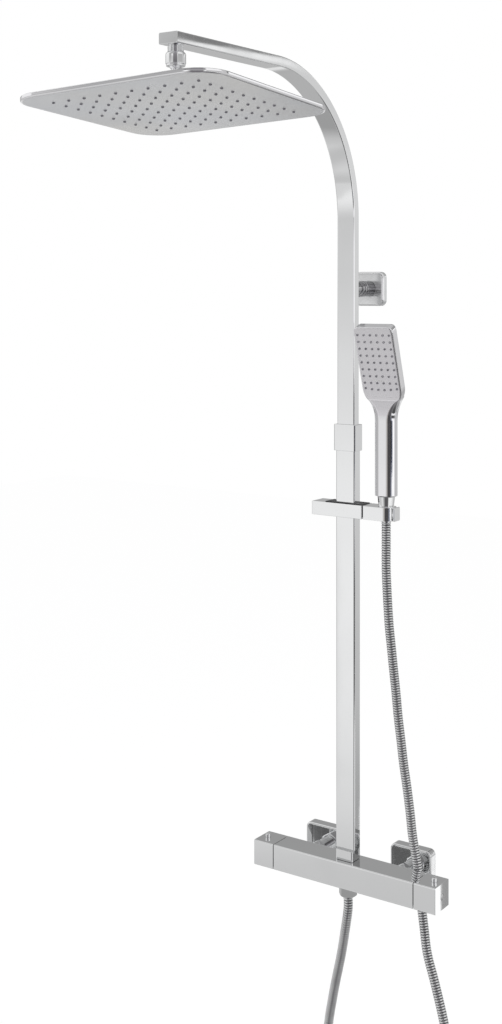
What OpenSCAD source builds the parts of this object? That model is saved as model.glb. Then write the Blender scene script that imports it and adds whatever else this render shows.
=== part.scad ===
// Rainfall shower column: thermostatic bar valve, telescopic square riser with
// an overhead arm and rain head, sliding holder, hand shower and flexible hose.
// Origin: wall surface, midway between the two inlets, at inlet height.
// +X is to the right seen from the front, +Y goes into the wall, +Z is up.

/* [Supply] */
// Distance between the two water inlets
inlet_spacing = 150; // [130:1:170]
// Distance from the wall to the valve and riser axis
reach = 71; // [64:0.5:86]
// Width and height of a cover plate
cover_w = 68; // [52:1:80]
// Depth of a cover plate
cover_d = 16; // [12:0.5:19]

/* [Valve] */
// Length of the valve over both handles
valve_len = 312; // [260:1:375]
// Height of the valve section
valve_h = 38; // [31.5:0.5:46]
// Depth of the valve section
valve_d = 42; // [36:0.5:50]
// Length of each handle
handle_len = 36; // [34:0.5:43]
// Gap between a handle and the body
seam = 1; // [0.6:0.1:1.5]
// Diameter of the bores that hold the cartridges
cartridge_d = 30; // [28:0.5:32]
// Diameter of the handle buttons
button_d = 8; // [6:0.5:9]
// Height of a button above its handle
button_out = 6; // [4:0.5:7]

/* [Riser] */
// Width of the lower riser tube
riser_w = 32.5; // [27:0.5:39]
// Depth of the lower riser tube
riser_d = 17.5; // [14.5:0.5:21]
// Wall of the riser tubes
riser_wall = 1.2; // [1:0.1:1.5]
// Height of the upper end of the lower riser above the inlets
lower_top = 650; // [620:1:720]
// Length of upper tube inside the lower riser
telescope_in = 180; // [160:1:216]
// Height of the arm's upper face above the inlets
arm_top = 1188; // [1060:1:1430]
// Distance from the riser axis to the rain head's axis
arm_reach = 418; // [348:1:502]
// Radius of the bend, to the middle of the tube
bend_r = 207; // [172:1:249]
// Distance from the start of the bend down to the wall bracket
bracket_drop = 105; // [60:1:160]
// Width and height of the bracket's cover
bracket_w = 52; // [44:1:63]

/* [Rain head] */
// Width of the square rain head
head_w = 296; // [246:1:356]
// Number of nozzles along each side
head_n = 10; // [6:1:12]
// Distance between neighbouring nozzles
head_pitch = 23.8; // [18:0.1:24]
// Thickness of the face plate
head_t = 6; // [4:0.5:8]
// Lean of the head about X on its ball joint
head_lean_x = -3.4; // [-8:0.1:8]
// Lean of the head about Y on its ball joint
head_lean_y = -3; // [-8:0.1:8]
// Turn of the head about its own axis
head_turn = 2.8; // [-5:0.1:5]

/* [Holder] */
// Height of the slider's middle above the inlets
slider_z = 540; // [450:1:600]
// Height of the slider and the cradle
slider_h = 20; // [18:0.5:24]
// Depth of the slider and the cradle
slider_d = 32; // [30:0.5:34]
// Distance from the riser axis to the hand shower's axis
cradle_x = 65; // [62:0.5:78]

/* [Hand shower] */
// Width of the spray head
spray_w = 62; // [54:1:72]
// Height of the spray head
spray_h = 112; // [100:1:130]
// Thickness of the spray head
spray_t = 17; // [14:0.5:20]
// Width of the handle
grip_w = 33; // [28:0.5:36]
// Depth of the handle
grip_d = 26; // [25:0.5:30]
// Length of the handle up to the bend of the neck
grip_len = 138; // [115:1:166]
// Forward lean of the spray head
spray_lean = 20; // [10:1:22]
// Turn of the hand shower about its handle
spray_turn = 5; // [0:1:30]
// Diameter of the hose
hose_d = 14; // [11.5:0.5:17]

/* [Hidden] */

$fn = 48;
chrome = [0.80, 0.81, 0.82];
satin = [0.70, 0.71, 0.73];
brass = [0.78, 0.63, 0.36];
black = [0.08, 0.08, 0.09];
white = [0.90, 0.90, 0.88];
grey = [0.35, 0.36, 0.38];

// Shared fits
eps = 0.1;          // cutters pass faces by this much
thread_gap = 0.1;   // radial clearance of a screwed joint
run_gap = 0.06;     // radial clearance of a turning fit
slide_gap = 0.25;   // clearance of the sliding tubes and the slider
half_inch = 10.48; // outer radius of a G1/2 thread
three_quarter = 13.22; // outer radius of a G3/4 thread
water_r = 6;        // radius of the small waterways

// Valve
axis_y = -reach;
body_half = valve_len / 2 - handle_len;
handle_in = body_half + seam;       // inner face of a handle
handle_out = valve_len / 2;         // outer face of a handle
bore_r = cartridge_d / 2;
cart_in = inlet_spacing / 2 - 17;   // inner end of a cartridge, past its inlet
cart_shoulder = body_half - 16;     // where the cartridge steps to its neck
neck_r = 10;                        // radius of a cartridge neck
neck_out = handle_in + 1;           // outer end of a neck
spindle_r = 4;
spindle_out = handle_out - 10;
cup_depth = 13;                     // depth of the recess inside a handle
cap_r = 4.2;                        // radius of a screw cap
cap_depth = 4;
button_u = handle_out - 12;         // a button's distance from the middle
button_r = button_d / 2;
flange_r = button_r + 1;
pocket_top = 15;                    // top of the button's pocket
pocket_low = 6.4;                   // floor of the button's pocket
flange_low = 12.6;                  // underside of the button's flange
spring_wire = 0.4;                  // half the thickness of the spring wire
valve_back = axis_y + valve_d / 2;

// Inlets
nut_flat = 15;                      // half the width across an inlet nut's flats
nut_front = valve_back + 1;
nut_gap = 15;                       // length of union seen between nut and cover
nut_len = -cover_d - nut_gap - nut_front;
nut_lip = 3;
tail_r = 9;
tail_front = axis_y + bore_r + 0.6; // front end of a tail, clear of the bore
tail_flange = 2.5;
tail_end = nut_front + nut_lip + tail_flange;
tail_step = max(tail_end - 12, tail_front + 1); // floor of the check valve's seat
check_r = 7;                        // radius of the check valve's seat
washer_t = 2;
union_end = tail_end + washer_t;
union_step = -6;                    // where the union steps down inside the cover
union_out = 14;                     // length of thread that enters the wall
port_r = 8;                         // radius of a union's water bore
cover_r = 8;
sheet = 1.5;                        // wall of the pressed covers

// Riser
collar_side = 2.25;                 // how far the collar stands out sideways
collar_face = 2.75;                 // how far the collar stands out in front
collar_low = lower_top - 22;
collar_top = lower_top + 17;
foot_gap = 2;                       // seam between the connector and the tube
connector_w = riser_w - 4;
connector_d = riser_d + 7;
connector_top = valve_h / 2 + 16;
upper_w = riser_w - 2 * (riser_wall + slide_gap);
upper_d = riser_d - 2 * (riser_wall + slide_gap);
tube_r = 2.2;                       // outer corner radius of the lower tube
upper_r = 1.8;                      // outer corner radius of the upper tube
upper_low = lower_top - telescope_in;
plug_water_r = upper_d / 2 - 2.8;
foot_water_r = riser_d / 2 - riser_wall - 1.55;
seal_heights = [-13, -6];           // seal grooves below the upper tube's end
arm_axis = arm_top - upper_d / 2;
bend_y = axis_y - bend_r;
bend_z = arm_axis - bend_r;
head_y = axis_y - arm_reach;
arm_end = head_y - 16;
cap_plug = 1;                       // how far the end cap enters the arm
arm_under = arm_top - upper_d;

// Ball joint and rain head
ball_r = 9.8;
ball_gap = 0.3;                     // clearance between the ball and its socket
ball_z = arm_under - 22.4;
swivel_nut_r = 12.9;
swivel_nut_low = ball_z - 4.5;
swivel_nut_top = arm_under - 9;
seat_top = ball_z + 9;
stem_r = 5.5;
face_drop = 56;                     // from the ball's centre to the head's face
shell_h = 8;                        // height of the raised back shell
mat_w = (head_n - 1) * head_pitch + 6;
mat_room = mat_w + 4;
shell_w = mat_room + 6;
head_corner = 42;
boss_top = -24;                     // top of the head's boss, from the ball's centre
stem_low = -face_drop + head_t + 2;

// Bracket
bracket_z = bend_z - bracket_drop;
stem_in = -5;                       // wall end of the bracket's stem
stem_ring = 12.2;                   // radius of the stem's widest rings
riser_back = axis_y + upper_d / 2;
bracket_d = 11;
bracket_hole_gap = 30;              // distance between the bracket's screw holes
boss_r = 7;

// Slider and cradle
slider_left = -54;
slider_right = cradle_x - 32.4;
slider_low = slider_z - slider_h / 2;
slider_top = slider_z + slider_h / 2;
window_left = -31;
window_right = slider_right - 5.6;
window_d = slider_d - 8;
bush_proud = 1.2;
brake_w = 11.6;                     // width and height of the friction pad
cradle_left = slider_right + 1.6;
cradle_r = slider_d / 2 - 1;
slot_w = hose_d + 1;
pivot_r = 4;
pivot_out = cradle_left + 16;
knob_in = cradle_x + cradle_r + 0.5;
knob_out = knob_in + 2.5;

// Hand shower and hose
hose_r = hose_d / 2;
cone_low = slider_low;
cone_h = 35;
cone_top_r = half_inch + 2.5;
cone_low_r = hose_r + 2;
grip_low = cone_low + cone_h + 0.8;
grip_top = grip_low + grip_len;
grip_r = 12;
spray_corner = 9;
spray_margin = 3;
spray_plate = 2.5;
spray_cols = 6;
spray_rows = 9;
spray_pitch = 10.7;
spray_bottom = 8;                   // gap from the neck's bend to the spray head
outlet_low = -valve_h / 2 - 11;
hex_low = -valve_h / 2 - 16.5;
hex_flat = 12;
ferrule_out = 3;
hose_start = hex_low - ferrule_out;
hose_end = cone_low - ferrule_out;

// The hose's route, from the valve's outlet round its hanging loop, up behind
// the valve and to the conical nut below the cradle
route_low = [
  [0, 0, hose_start], [0, 0, hose_start - 18], [-6, 1, -92], [-15, 5, -131],
  [-31, 9, -195], [-43, 12, -260], [-43, 14, -325], [-25, 16, -385],
  [12, 17, -430], [60, 18, -445], [108, 19, -430], [145, 20, -385],
  [162, 21, -325], [160, 22, -260], [148, 23, -195], [133, 23, -140],
  [120, 24, -100], [113, 27, -65], [106, 30, -27], [101, 30, 18],
  [93, 29, 64], [90, 27, 98], [86, 25, 134], [82, 22, 169],
  [79, 19, 205], [76, 16, 240], [74, 13, 276], [72, 9, 312]
];
route_top = [[5, 6, 345], [3, 3, 378], [1, 1, 425], [0, 0, 460], [0, 0, 495]];
bend_from = len(route_low);
lead_from = bend_from + 3;
route = concat(
  [for (p = route_low) [p[0], axis_y + p[1], p[2]]],
  [for (p = route_top) [cradle_x + p[0], axis_y + p[1], p[2]]],
  [[cradle_x, axis_y, hose_end]]
);
hose_sides = 10;
section_gap = 0.1;                  // gap between two sections of the hose

// ---------- shapes used by several pieces ----------

// Rectangle with true round corners, centred
module round_rect(w, h, r) {
  square([w - 2 * r, h], center = true);
  square([w, h - 2 * r], center = true);
  for (x = [-1, 1]) {
    for (y = [-1, 1]) {
      translate([x * (w / 2 - r), y * (h / 2 - r)]) circle(r);
    }
  }
}

// Bar with round corners standing on z0
module post(w, d, r, z0, z1) {
  translate([0, 0, z0]) linear_extrude(z1 - z0) round_rect(w, d, r);
}

// Things laid out along X at the valve's axis, on the right or mirrored left
module on_axis(side) {
  translate([0, axis_y, 0]) scale_side(side) children();
}

module scale_side(side) {
  if (side > 0) {
    children();
  } else {
    mirror([1, 0, 0]) children();
  }
}

module rod_x(r, x0, x1) {
  translate([x0, 0, 0]) rotate([0, 90, 0]) cylinder(h = x1 - x0, r = r);
}

module rod_y(r, y0, y1) {
  translate([0, y0, 0]) rotate([-90, 0, 0]) cylinder(h = y1 - y0, r = r);
}

module rod_z(r, z0, z1) {
  translate([0, 0, z0]) cylinder(h = z1 - z0, r = r);
}

module tube_z(outer, inner, z0, z1) {
  difference() {
    rod_z(outer, z0, z1);
    rod_z(inner, z0 - eps, z1 + eps);
  }
}

// Rectangular bar of the valve, centred on the axis
module bar_x(x0, x1) {
  translate([x0, 0, 0]) rotate([90, 0, 90]) {
    linear_extrude(x1 - x0) round_rect(valve_d, valve_h, 1.2);
  }
}

// Hexagon prism along Y with its flats facing sideways
module hex_y(flat, y0, y1) {
  translate([0, y0, 0]) rotate([-90, 30, 0]) {
    cylinder(h = y1 - y0, r = flat / cos(30), $fn = 6);
  }
}

module at_inlets() {
  for (s = [-1, 1]) translate([s * inlet_spacing / 2, 0, 0]) children();
}

// ---------- valve ----------

module valve_body() {
  color(chrome) on_axis(1) difference() {
    bar_x(-body_half, body_half);
    rod_x(8, -cart_in - eps, cart_in + eps);
    for (s = [-1, 1]) {
      scale_side(s) rod_x(bore_r, cart_in, body_half + eps);
      translate([s * inlet_spacing / 2, 0, 0]) {
        rod_y(tail_r, bore_r - 4, valve_d / 2 + eps);
      }
    }
    rod_z(8, -valve_h / 2 - eps, valve_h / 2 + eps);
    rod_z(10, valve_h / 2 - 8, valve_h / 2 + eps);
    rod_z(10, -valve_h / 2 - eps, -valve_h / 2 + 8);
  }
}

module cartridge() {
  difference() {
    union() {
      rod_x(bore_r - thread_gap, cart_in + 4, cart_shoulder);
      rod_x(neck_r, cart_shoulder - 1, neck_out);
    }
    rod_x(spindle_r + run_gap, cart_in + 30, neck_out + eps);
    rod_x(water_r, cart_in, cart_in + 16);
    for (a = [0, 90, 180, 270]) {
      rotate([a, 0, 0]) translate([cart_in + 12, 0, 0]) rod_z(2.5, 4, bore_r);
    }
  }
}

module thermostatic_cartridge() {
  color(brass) on_axis(1) cartridge();
}

module diverter_cartridge() {
  color(brass) on_axis(-1) cartridge();
}

// Ring nuts that hold the cartridges in the body
module cartridge_nuts() {
  color(brass) for (s = [-1, 1]) on_axis(s) difference() {
    rod_x(bore_r - thread_gap, cart_shoulder, body_half - 3);
    rod_x(neck_r + thread_gap, cart_shoulder - eps, body_half);
  }
}

// Slotted rings that limit each handle's turn
module stop_rings() {
  color(black) for (s = [-1, 1]) on_axis(s) difference() {
    rod_x(13, body_half - 3, body_half - 0.4);
    rod_x(neck_r + thread_gap, body_half - 4, body_half);
    translate([body_half - 4, -2, 11]) cube([4, 4, 4]);
  }
}

module spindle() {
  rod_x(spindle_r, cart_in + 32, spindle_out);
}

module temperature_spindle() {
  color(brass) on_axis(1) spindle();
}

module flow_spindle() {
  color(brass) on_axis(-1) spindle();
}

module handle() {
  difference() {
    bar_x(handle_in, handle_out);
    rod_x(bore_r, handle_in - eps, handle_in + cup_depth);
    rod_x(spindle_r + 0.02, handle_in, spindle_out + 0.4);
    rod_x(cap_r + 0.05, handle_out - cap_depth, handle_out + eps);
    translate([button_u, 0, 0]) {
      rod_z(button_r + 0.2, pocket_top - eps, valve_h / 2 + eps);
      rod_z(flange_r + 0.2, pocket_low, pocket_top);
    }
    translate([handle_in + cup_depth - eps, -flange_r - 0.2, pocket_low]) {
      cube([
        button_u - handle_in - cup_depth, 2 * flange_r + 0.4,
        pocket_top - pocket_low
      ]);
    }
  }
}

module temperature_handle() {
  color(chrome) on_axis(1) handle();
}

module flow_handle() {
  color(chrome) on_axis(-1) handle();
}

// Domed cap over the screw that holds a handle
module screw_cap() {
  rod_x(cap_r, handle_out - cap_depth + 0.2, handle_out + 0.4);
}

module temperature_screw_cap() {
  color(chrome) on_axis(1) screw_cap();
}

module flow_screw_cap() {
  color(chrome) on_axis(-1) screw_cap();
}

module button() {
  translate([button_u, 0, 0]) {
    rod_z(button_r, flange_low, valve_h / 2 + button_out - 0.6);
    rod_z(button_r - 0.6, valve_h / 2, valve_h / 2 + button_out);
    rod_z(flange_r, flange_low, flange_low + 2);
  }
}

module temperature_button() {
  color(chrome) on_axis(1) button();
}

module flow_button() {
  color(chrome) on_axis(-1) button();
}

// Coils of the return spring under a button
module button_spring() {
  coils = 5;
  room = flange_low - pocket_low - 2 * spring_wire;
  translate([button_u, 0, pocket_low + spring_wire]) for (i = [0 : coils - 1]) {
    translate([0, 0, i * room / (coils - 1)]) rotate_extrude() {
      translate([button_r - 1, 0]) circle(spring_wire, $fn = 16);
    }
  }
}

module temperature_button_spring() {
  color(satin) on_axis(1) button_spring();
}

module flow_button_spring() {
  color(satin) on_axis(-1) button_spring();
}

// ---------- inlets ----------

// Flanged tails screwed into the back of the body
module inlet_tails() {
  color(brass) at_inlets() difference() {
    union() {
      rod_y(tail_r - thread_gap, tail_front, tail_end);
      rod_y(three_quarter - 0.6, tail_end - tail_flange, tail_end);
    }
    rod_y(water_r, tail_front - eps, tail_end + eps);
    rod_y(check_r, tail_step, tail_end + eps);
  }
}

// Non-return valves pushed into the tails
module check_valves() {
  color(white) at_inlets() difference() {
    rod_y(check_r - thread_gap, tail_step + eps, tail_end - 0.5);
    rod_y(3, tail_step, tail_end);
  }
}

module inlet_nuts() {
  color(chrome) at_inlets() difference() {
    hex_y(nut_flat, nut_front, nut_front + nut_len);
    rod_y(tail_r + 0.3, nut_front - eps, nut_front + nut_len);
    rod_y(three_quarter + thread_gap, nut_front + nut_lip, nut_front + nut_len + eps);
  }
}

module inlet_washers() {
  color(black) at_inlets() difference() {
    rod_y(three_quarter - 0.6, tail_end, union_end);
    rod_y(7.5, tail_end - eps, union_end + eps);
  }
}

module wall_unions() {
  color(chrome) at_inlets() difference() {
    union() {
      rod_y(three_quarter, union_end, union_step);
      rod_y(half_inch, union_step - eps, union_out);
    }
    rod_y(port_r, union_end - eps, union_out + eps);
  }
}

// Hollow square cup with its mouth on the wall and a round hole in its face
module wall_cup(w, d, r, hole_r) {
  difference() {
    translate([0, -d, 0]) rotate([-90, 0, 0]) linear_extrude(d) round_rect(w, w, r);
    translate([0, -d + sheet, 0]) rotate([-90, 0, 0]) linear_extrude(d) {
      round_rect(w - 2 * sheet, w - 2 * sheet, r - sheet);
    }
    rod_y(hole_r, -d - eps, -d + sheet + eps);
  }
}

module cover_plates() {
  color(chrome) at_inlets() {
    wall_cup(cover_w, cover_d, cover_r, three_quarter + 0.2);
  }
}

// ---------- outlet and riser ----------

module hose_outlet() {
  color(chrome) translate([0, axis_y, 0]) difference() {
    union() {
      rod_z(10 - thread_gap, -valve_h / 2, -valve_h / 2 + 7.9);
      rod_z(half_inch, outlet_low, -valve_h / 2);
    }
    rod_z(5, outlet_low - eps, valve_h);
  }
}

module riser_connector() {
  color(chrome) translate([0, axis_y, 0]) difference() {
    union() {
      rod_z(10 - thread_gap, valve_h / 2 - 7.9, valve_h / 2 + 1);
      post(connector_w, connector_d, tube_r, valve_h / 2 + 0.4, connector_top);
      post(
        riser_w - 2 * riser_wall - 0.2, riser_d - 2 * riser_wall - 0.2, 0.9,
        connector_top - 1, connector_top + 14
      );
    }
    rod_z(foot_water_r, 0, connector_top + 20);
  }
}

module lower_riser() {
  color(chrome) translate([0, axis_y, 0]) difference() {
    post(riser_w, riser_d, tube_r, connector_top + foot_gap, lower_top);
    post(
      riser_w - 2 * riser_wall, riser_d - 2 * riser_wall, tube_r - riser_wall,
      connector_top, lower_top + eps
    );
  }
}

module riser_collar() {
  color(chrome) translate([0, axis_y, 0]) difference() {
    post(
      riser_w + 2 * collar_side, riser_d + 2 * collar_face, 2.5,
      collar_low, collar_top
    );
    post(riser_w + 0.2, riser_d + 0.2, tube_r, collar_low - 1, collar_top - 3);
    post(upper_w + 1, upper_d + 1, 2, collar_top - 4, collar_top + 1);
    translate([0, 0, collar_top - 11]) rod_y(2.6, 0, riser_d);
  }
}

// Plastic guide round the upper tube, inside the collar
module collar_bush() {
  color(black) translate([0, axis_y, 0]) difference() {
    post(riser_w, riser_d, tube_r, lower_top + 0.2, collar_top - 3.2);
    post(upper_w + 0.4, upper_d + 0.4, 2, lower_top, collar_top);
  }
}

module collar_grub_screw() {
  color(satin) translate([0, axis_y, collar_top - 11]) difference() {
    rod_y(2.5, riser_d / 2, riser_d / 2 + collar_face - 0.4);
    rotate([0, 30, 0]) translate([0, riser_d / 2 + 1, 0]) rotate([-90, 0, 0]) {
      cylinder(h = collar_face, r = 1.3, $fn = 6);
    }
  }
}

// ---------- upper column ----------

// Upright bar, bend and arm as one solid
module bent_bar(w, d, r, z0, y1) {
  translate([0, axis_y, 0]) post(w, d, r, z0, bend_z);
  translate([0, bend_y, bend_z]) rotate([90, 0, 90]) {
    rotate_extrude(angle = 90, $fn = 96) translate([bend_r, 0]) round_rect(d, w, r);
  }
  translate([0, y1, arm_axis]) rotate([-90, 0, 0]) {
    linear_extrude(bend_y - y1) round_rect(w, d, r);
  }
}

module upper_column() {
  color(chrome) difference() {
    bent_bar(upper_w, upper_d, upper_r, upper_low, arm_end + 3);
    bent_bar(
      upper_w - 2 * riser_wall, upper_d - 2 * riser_wall, upper_r - riser_wall,
      upper_low - eps, arm_end
    );
    translate([0, head_y, 0]) rod_z(half_inch + thread_gap, arm_under - 1, arm_axis);
  }
}

// Plug in the lower end of the upper tube that carries the seals
module telescope_plug() {
  color(brass) translate([0, axis_y, 0]) difference() {
    union() {
      post(
        upper_w - 2 * riser_wall - 0.2, upper_d - 2 * riser_wall - 0.2, 0.5,
        upper_low, upper_low + 12
      );
      post(upper_w, upper_d, 1, upper_low - 16, upper_low);
    }
    rod_z(plug_water_r, upper_low - 20, upper_low + 20);
    for (z = seal_heights) {
      translate([0, 0, upper_low + z]) seal_groove(upper_w, upper_d);
    }
  }
}

// Cutter for a shallow groove round a rectangular plug
module seal_groove(w, d) {
  difference() {
    linear_extrude(3) square([w + 4, d + 4], center = true);
    translate([0, 0, -1]) linear_extrude(5) round_rect(w - 3, d - 3, 0.8);
  }
}

module telescope_seals() {
  color(black) translate([0, axis_y, 0]) for (z = seal_heights) {
    translate([0, 0, upper_low + z + 0.2]) linear_extrude(2.6) difference() {
      round_rect(upper_w + 0.3, upper_d + 0.3, 1);
      round_rect(upper_w - 2.9, upper_d - 2.9, 0.8);
    }
  }
}

// Rectangular prism that fits inside the arm, along Y
module arm_filler(y0, len) {
  translate([0, y0, arm_axis]) rotate([-90, 0, 0]) linear_extrude(len) {
    round_rect(upper_w - 2 * riser_wall - 0.2, upper_d - 2 * riser_wall - 0.2, 0.5);
  }
}

module arm_end_cap() {
  color(chrome) {
    translate([0, arm_end, arm_axis]) rotate([-90, 0, 0]) {
      linear_extrude(3) round_rect(upper_w, upper_d, upper_r);
    }
    arm_filler(arm_end + 2.9, cap_plug + 0.1);
  }
}

// Block brazed inside the arm, with the thread for the nipple
module arm_block() {
  color(brass) difference() {
    arm_filler(arm_end + 3.2 + cap_plug, 26);
    translate([0, head_y, 0]) {
      rod_z(half_inch + thread_gap, arm_under, arm_axis + 4);
    }
    translate([0, head_y, arm_axis]) rod_y(3.6, 0, 20);
  }
}

module arm_nipple() {
  color(chrome) translate([0, head_y, 0]) {
    tube_z(half_inch, water_r, seat_top + 0.2, arm_axis + 3.8);
  }
}

module swivel_nut() {
  color(chrome) translate([0, head_y, 0]) difference() {
    union() {
      rod_z(swivel_nut_r, swivel_nut_low + 1, swivel_nut_top);
      rod_z(swivel_nut_r - 0.8, swivel_nut_low, swivel_nut_low + 2);
    }
    rod_z(half_inch + thread_gap, seat_top, swivel_nut_top + eps);
    rod_z(ball_r + ball_gap, ball_z, seat_top + eps);
    translate([0, 0, ball_z]) sphere(ball_r + ball_gap);
  }
}

// Plastic ring above the ball
module ball_seat() {
  color(white) translate([0, head_y, 0]) difference() {
    rod_z(ball_r + ball_gap - run_gap, ball_z + 4, seat_top);
    rod_z(7, ball_z, seat_top + eps);
    translate([0, 0, ball_z]) sphere(ball_r + ball_gap);
  }
}

// Puts children on the leaning head, with its origin at the ball's centre
module on_head() {
  translate([0, head_y, ball_z]) rotate([head_lean_x, head_lean_y, 0]) {
    rotate([0, 0, head_turn]) children();
  }
}

// Hollow ball with the threaded stem that carries the head
module swivel_ball() {
  color(chrome) on_head() difference() {
    union() {
      intersection() {
        sphere(ball_r);
        rod_z(ball_r, -ball_r, 5.5);
      }
      rod_z(stem_r, boss_top, -8);
      rod_z(half_inch, stem_low, boss_top + 1);
    }
    rod_z(3.5, stem_low - eps, 6);
  }
}

module head_back_shell() {
  color(chrome) on_head() difference() {
    union() {
      translate([0, 0, -face_drop]) post(shell_w, shell_w, 14, head_t, head_t + shell_h);
      rod_z(half_inch + 4, -face_drop + head_t + shell_h - 1, boss_top);
    }
    translate([0, 0, -face_drop]) {
      post(shell_w - 4, shell_w - 4, 12, head_t - eps, head_t + shell_h - 1.6);
    }
    rod_z(half_inch + run_gap, -face_drop, boss_top + eps);
  }
}

// Places children at every nozzle of a grid
module grid(nx, ny, pitch) {
  for (i = [0 : nx - 1]) {
    for (j = [0 : ny - 1]) {
      translate([(i - (nx - 1) / 2) * pitch, (j - (ny - 1) / 2) * pitch, 0]) children();
    }
  }
}

module head_face_plate() {
  color(satin) on_head() translate([0, 0, -face_drop]) difference() {
    post(head_w, head_w, head_corner, 0, head_t);
    post(mat_room, mat_room, 6, 2, head_t + eps);
    grid(head_n, head_n, head_pitch) {
      translate([0, 0, -eps]) cylinder(h = 3, r = 2.1, $fn = 16);
    }
  }
}

// Flexible mat whose nozzles come through the face plate
module head_nozzle_mat() {
  color(grey) on_head() translate([0, 0, -face_drop]) {
    post(mat_w, mat_w, 3, 2.1, 4);
    grid(head_n, head_n, head_pitch) {
      translate([0, 0, -1.2]) cylinder(h = 3.6, r = 1.9, $fn = 16);
    }
  }
}

// ---------- wall bracket ----------

// Stub brazed to the back of the upper tube
module riser_boss() {
  color(chrome) translate([0, 0, bracket_z]) {
    rod_y(boss_r + 1.5, riser_back, riser_back + 2);
    rod_y(boss_r, riser_back, riser_back + 16);
  }
}

module bracket_stem() {
  color(chrome) translate([0, 0, bracket_z]) difference() {
    union() {
      rod_y(9.3, riser_back + 2.2, stem_in);
      rod_y(11, riser_back + 20, stem_in);
      rod_y(stem_ring, riser_back + 25, riser_back + 29);
      rod_y(stem_ring, riser_back + 32, stem_in);
    }
    rod_y(boss_r + thread_gap, riser_back, riser_back + 17);
    rod_y(2.6, -20, 0);
  }
}

module bracket_cover() {
  color(chrome) translate([0, 0, bracket_z]) {
    wall_cup(bracket_w, bracket_d, 9, stem_ring + 0.2);
  }
}

module bracket_wall_disc() {
  color(satin) translate([0, 0, bracket_z]) difference() {
    rod_y(20, stem_in, 0);
    rod_y(2.5, stem_in - eps, eps);
    for (s = [-1, 1]) translate([0, 0, s * bracket_hole_gap / 2]) {
      rod_y(2.3, stem_in - eps, eps);
    }
  }
}

// Screw from the disc into the stem
module bracket_screw() {
  color(satin) translate([0, 0, bracket_z]) difference() {
    rod_y(2.4, -19, -0.2);
    rod_y(1.2, -2, 0);
  }
}

// ---------- slider and cradle ----------

module slider_body() {
  mid = (slider_left + slider_right) / 2;
  color(chrome) translate([0, axis_y, 0]) difference() {
    translate([mid, 0, 0]) {
      post(slider_right - slider_left, slider_d, 1, slider_low, slider_top);
    }
    translate([window_left, -window_d / 2, slider_low - 1]) {
      cube([window_right - window_left, window_d, slider_h + 2]);
    }
    translate([0, 0, slider_z]) {
      rod_x(2.8, slider_left + 8, window_left + eps);
      rod_x(pivot_r + 0.05, window_right - eps, slider_right + eps);
      rod_x(6.2, window_right - eps, window_right + 2.5);
    }
  }
}

module slider_bush() {
  color(black) translate([0, axis_y, 0]) difference() {
    union() {
      translate([window_left + 0.1, -window_d / 2 + 0.1, slider_low + 0.4]) {
        cube([
          window_right - window_left - 0.2, window_d - 0.2, slider_h - 0.4
        ]);
      }
      translate([window_left - 1, -window_d / 2 - 1, slider_top]) {
        cube([
          slider_right - window_left - 1, window_d + 2, bush_proud
        ]);
      }
    }
    post(
      riser_w + 2 * slide_gap, riser_d + 2 * slide_gap, tube_r,
      slider_low, slider_top + 4
    );
    translate([window_left, -brake_w / 2 - 0.2, slider_z - brake_w / 2 - 0.2]) {
      cube([-window_left, brake_w + 0.4, brake_w + 0.4]);
    }
  }
}

// Friction pad against the riser, with its guide pin
module slider_brake() {
  pad_in = -riser_w / 2 - slide_gap;
  color(black) translate([0, axis_y, slider_z]) {
    translate([pad_in - 10, -brake_w / 2, -brake_w / 2]) cube([10, brake_w, brake_w]);
    rod_x(2.5, slider_left + 14, pad_in - 9);
  }
}

// Shoulder pin on which the cradle tilts
module cradle_pivot() {
  color(satin) translate([0, axis_y, slider_z]) {
    rod_x(pivot_r, window_right + 0.3, pivot_out);
    rod_x(6, window_right + 0.3, window_right + 2.4);
  }
}

module cradle() {
  color(chrome) translate([0, axis_y, 0]) difference() {
    union() {
      translate([cradle_left, -slider_d / 2 + 1, slider_low]) {
        cube([cradle_x - cradle_left, slider_d - 2, slider_h]);
      }
      translate([cradle_x, 0, 0]) rod_z(cradle_r, slider_low, slider_top);
      translate([0, 0, slider_z]) rod_x(7, cradle_x + cradle_r - 3, knob_in - 0.4);
    }
    translate([cradle_x, 0, slider_low - eps]) {
      cylinder(
        h = slider_h + 2 * eps, r1 = cone_low_r + 0.3,
        r2 = cone_r(slider_top) + 0.3
      );
      translate([-slot_w / 2, 0, 0]) cube([slot_w, slider_d, slider_h + 2 * eps]);
    }
    translate([0, 0, slider_z]) {
      rod_x(pivot_r + run_gap, cradle_left - eps, pivot_out + 0.5);
      rod_x(1.5 + run_gap, cradle_x + cradle_r - 2.6, knob_in);
    }
  }
}

// Flared knob that turns on a short pin at the cradle's end
module cradle_knob() {
  color(chrome) translate([0, axis_y, slider_z]) {
    hull() {
      translate([knob_in, -6.5, -7]) cube([0.4, 13, 14]);
      translate([knob_out - 1.4, -9, -slider_h / 2]) cube([1.4, 18, slider_h]);
    }
    rod_x(1.5, knob_in - 2.6, knob_in + 0.2);
  }
}

// Radius of the conical nut at a height
function cone_r(z) = cone_low_r + (cone_top_r - cone_low_r) * (z - cone_low) / cone_h;

// ---------- hand shower ----------

module on_handset() {
  translate([cradle_x, axis_y, 0]) rotate([0, 0, spray_turn]) children();
}

// Puts children on the leaning spray head, with z measured up from the bend
module on_spray() {
  translate([0, 0, grip_top]) rotate([spray_lean, 0, 0]) children();
}

module spray_slab(w, h, t, r, y0, inset) {
  translate([0, y0, spray_bottom + inset + h / 2]) rotate([-90, 0, 0]) {
    linear_extrude(t) round_rect(w, h, r);
  }
}

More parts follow.
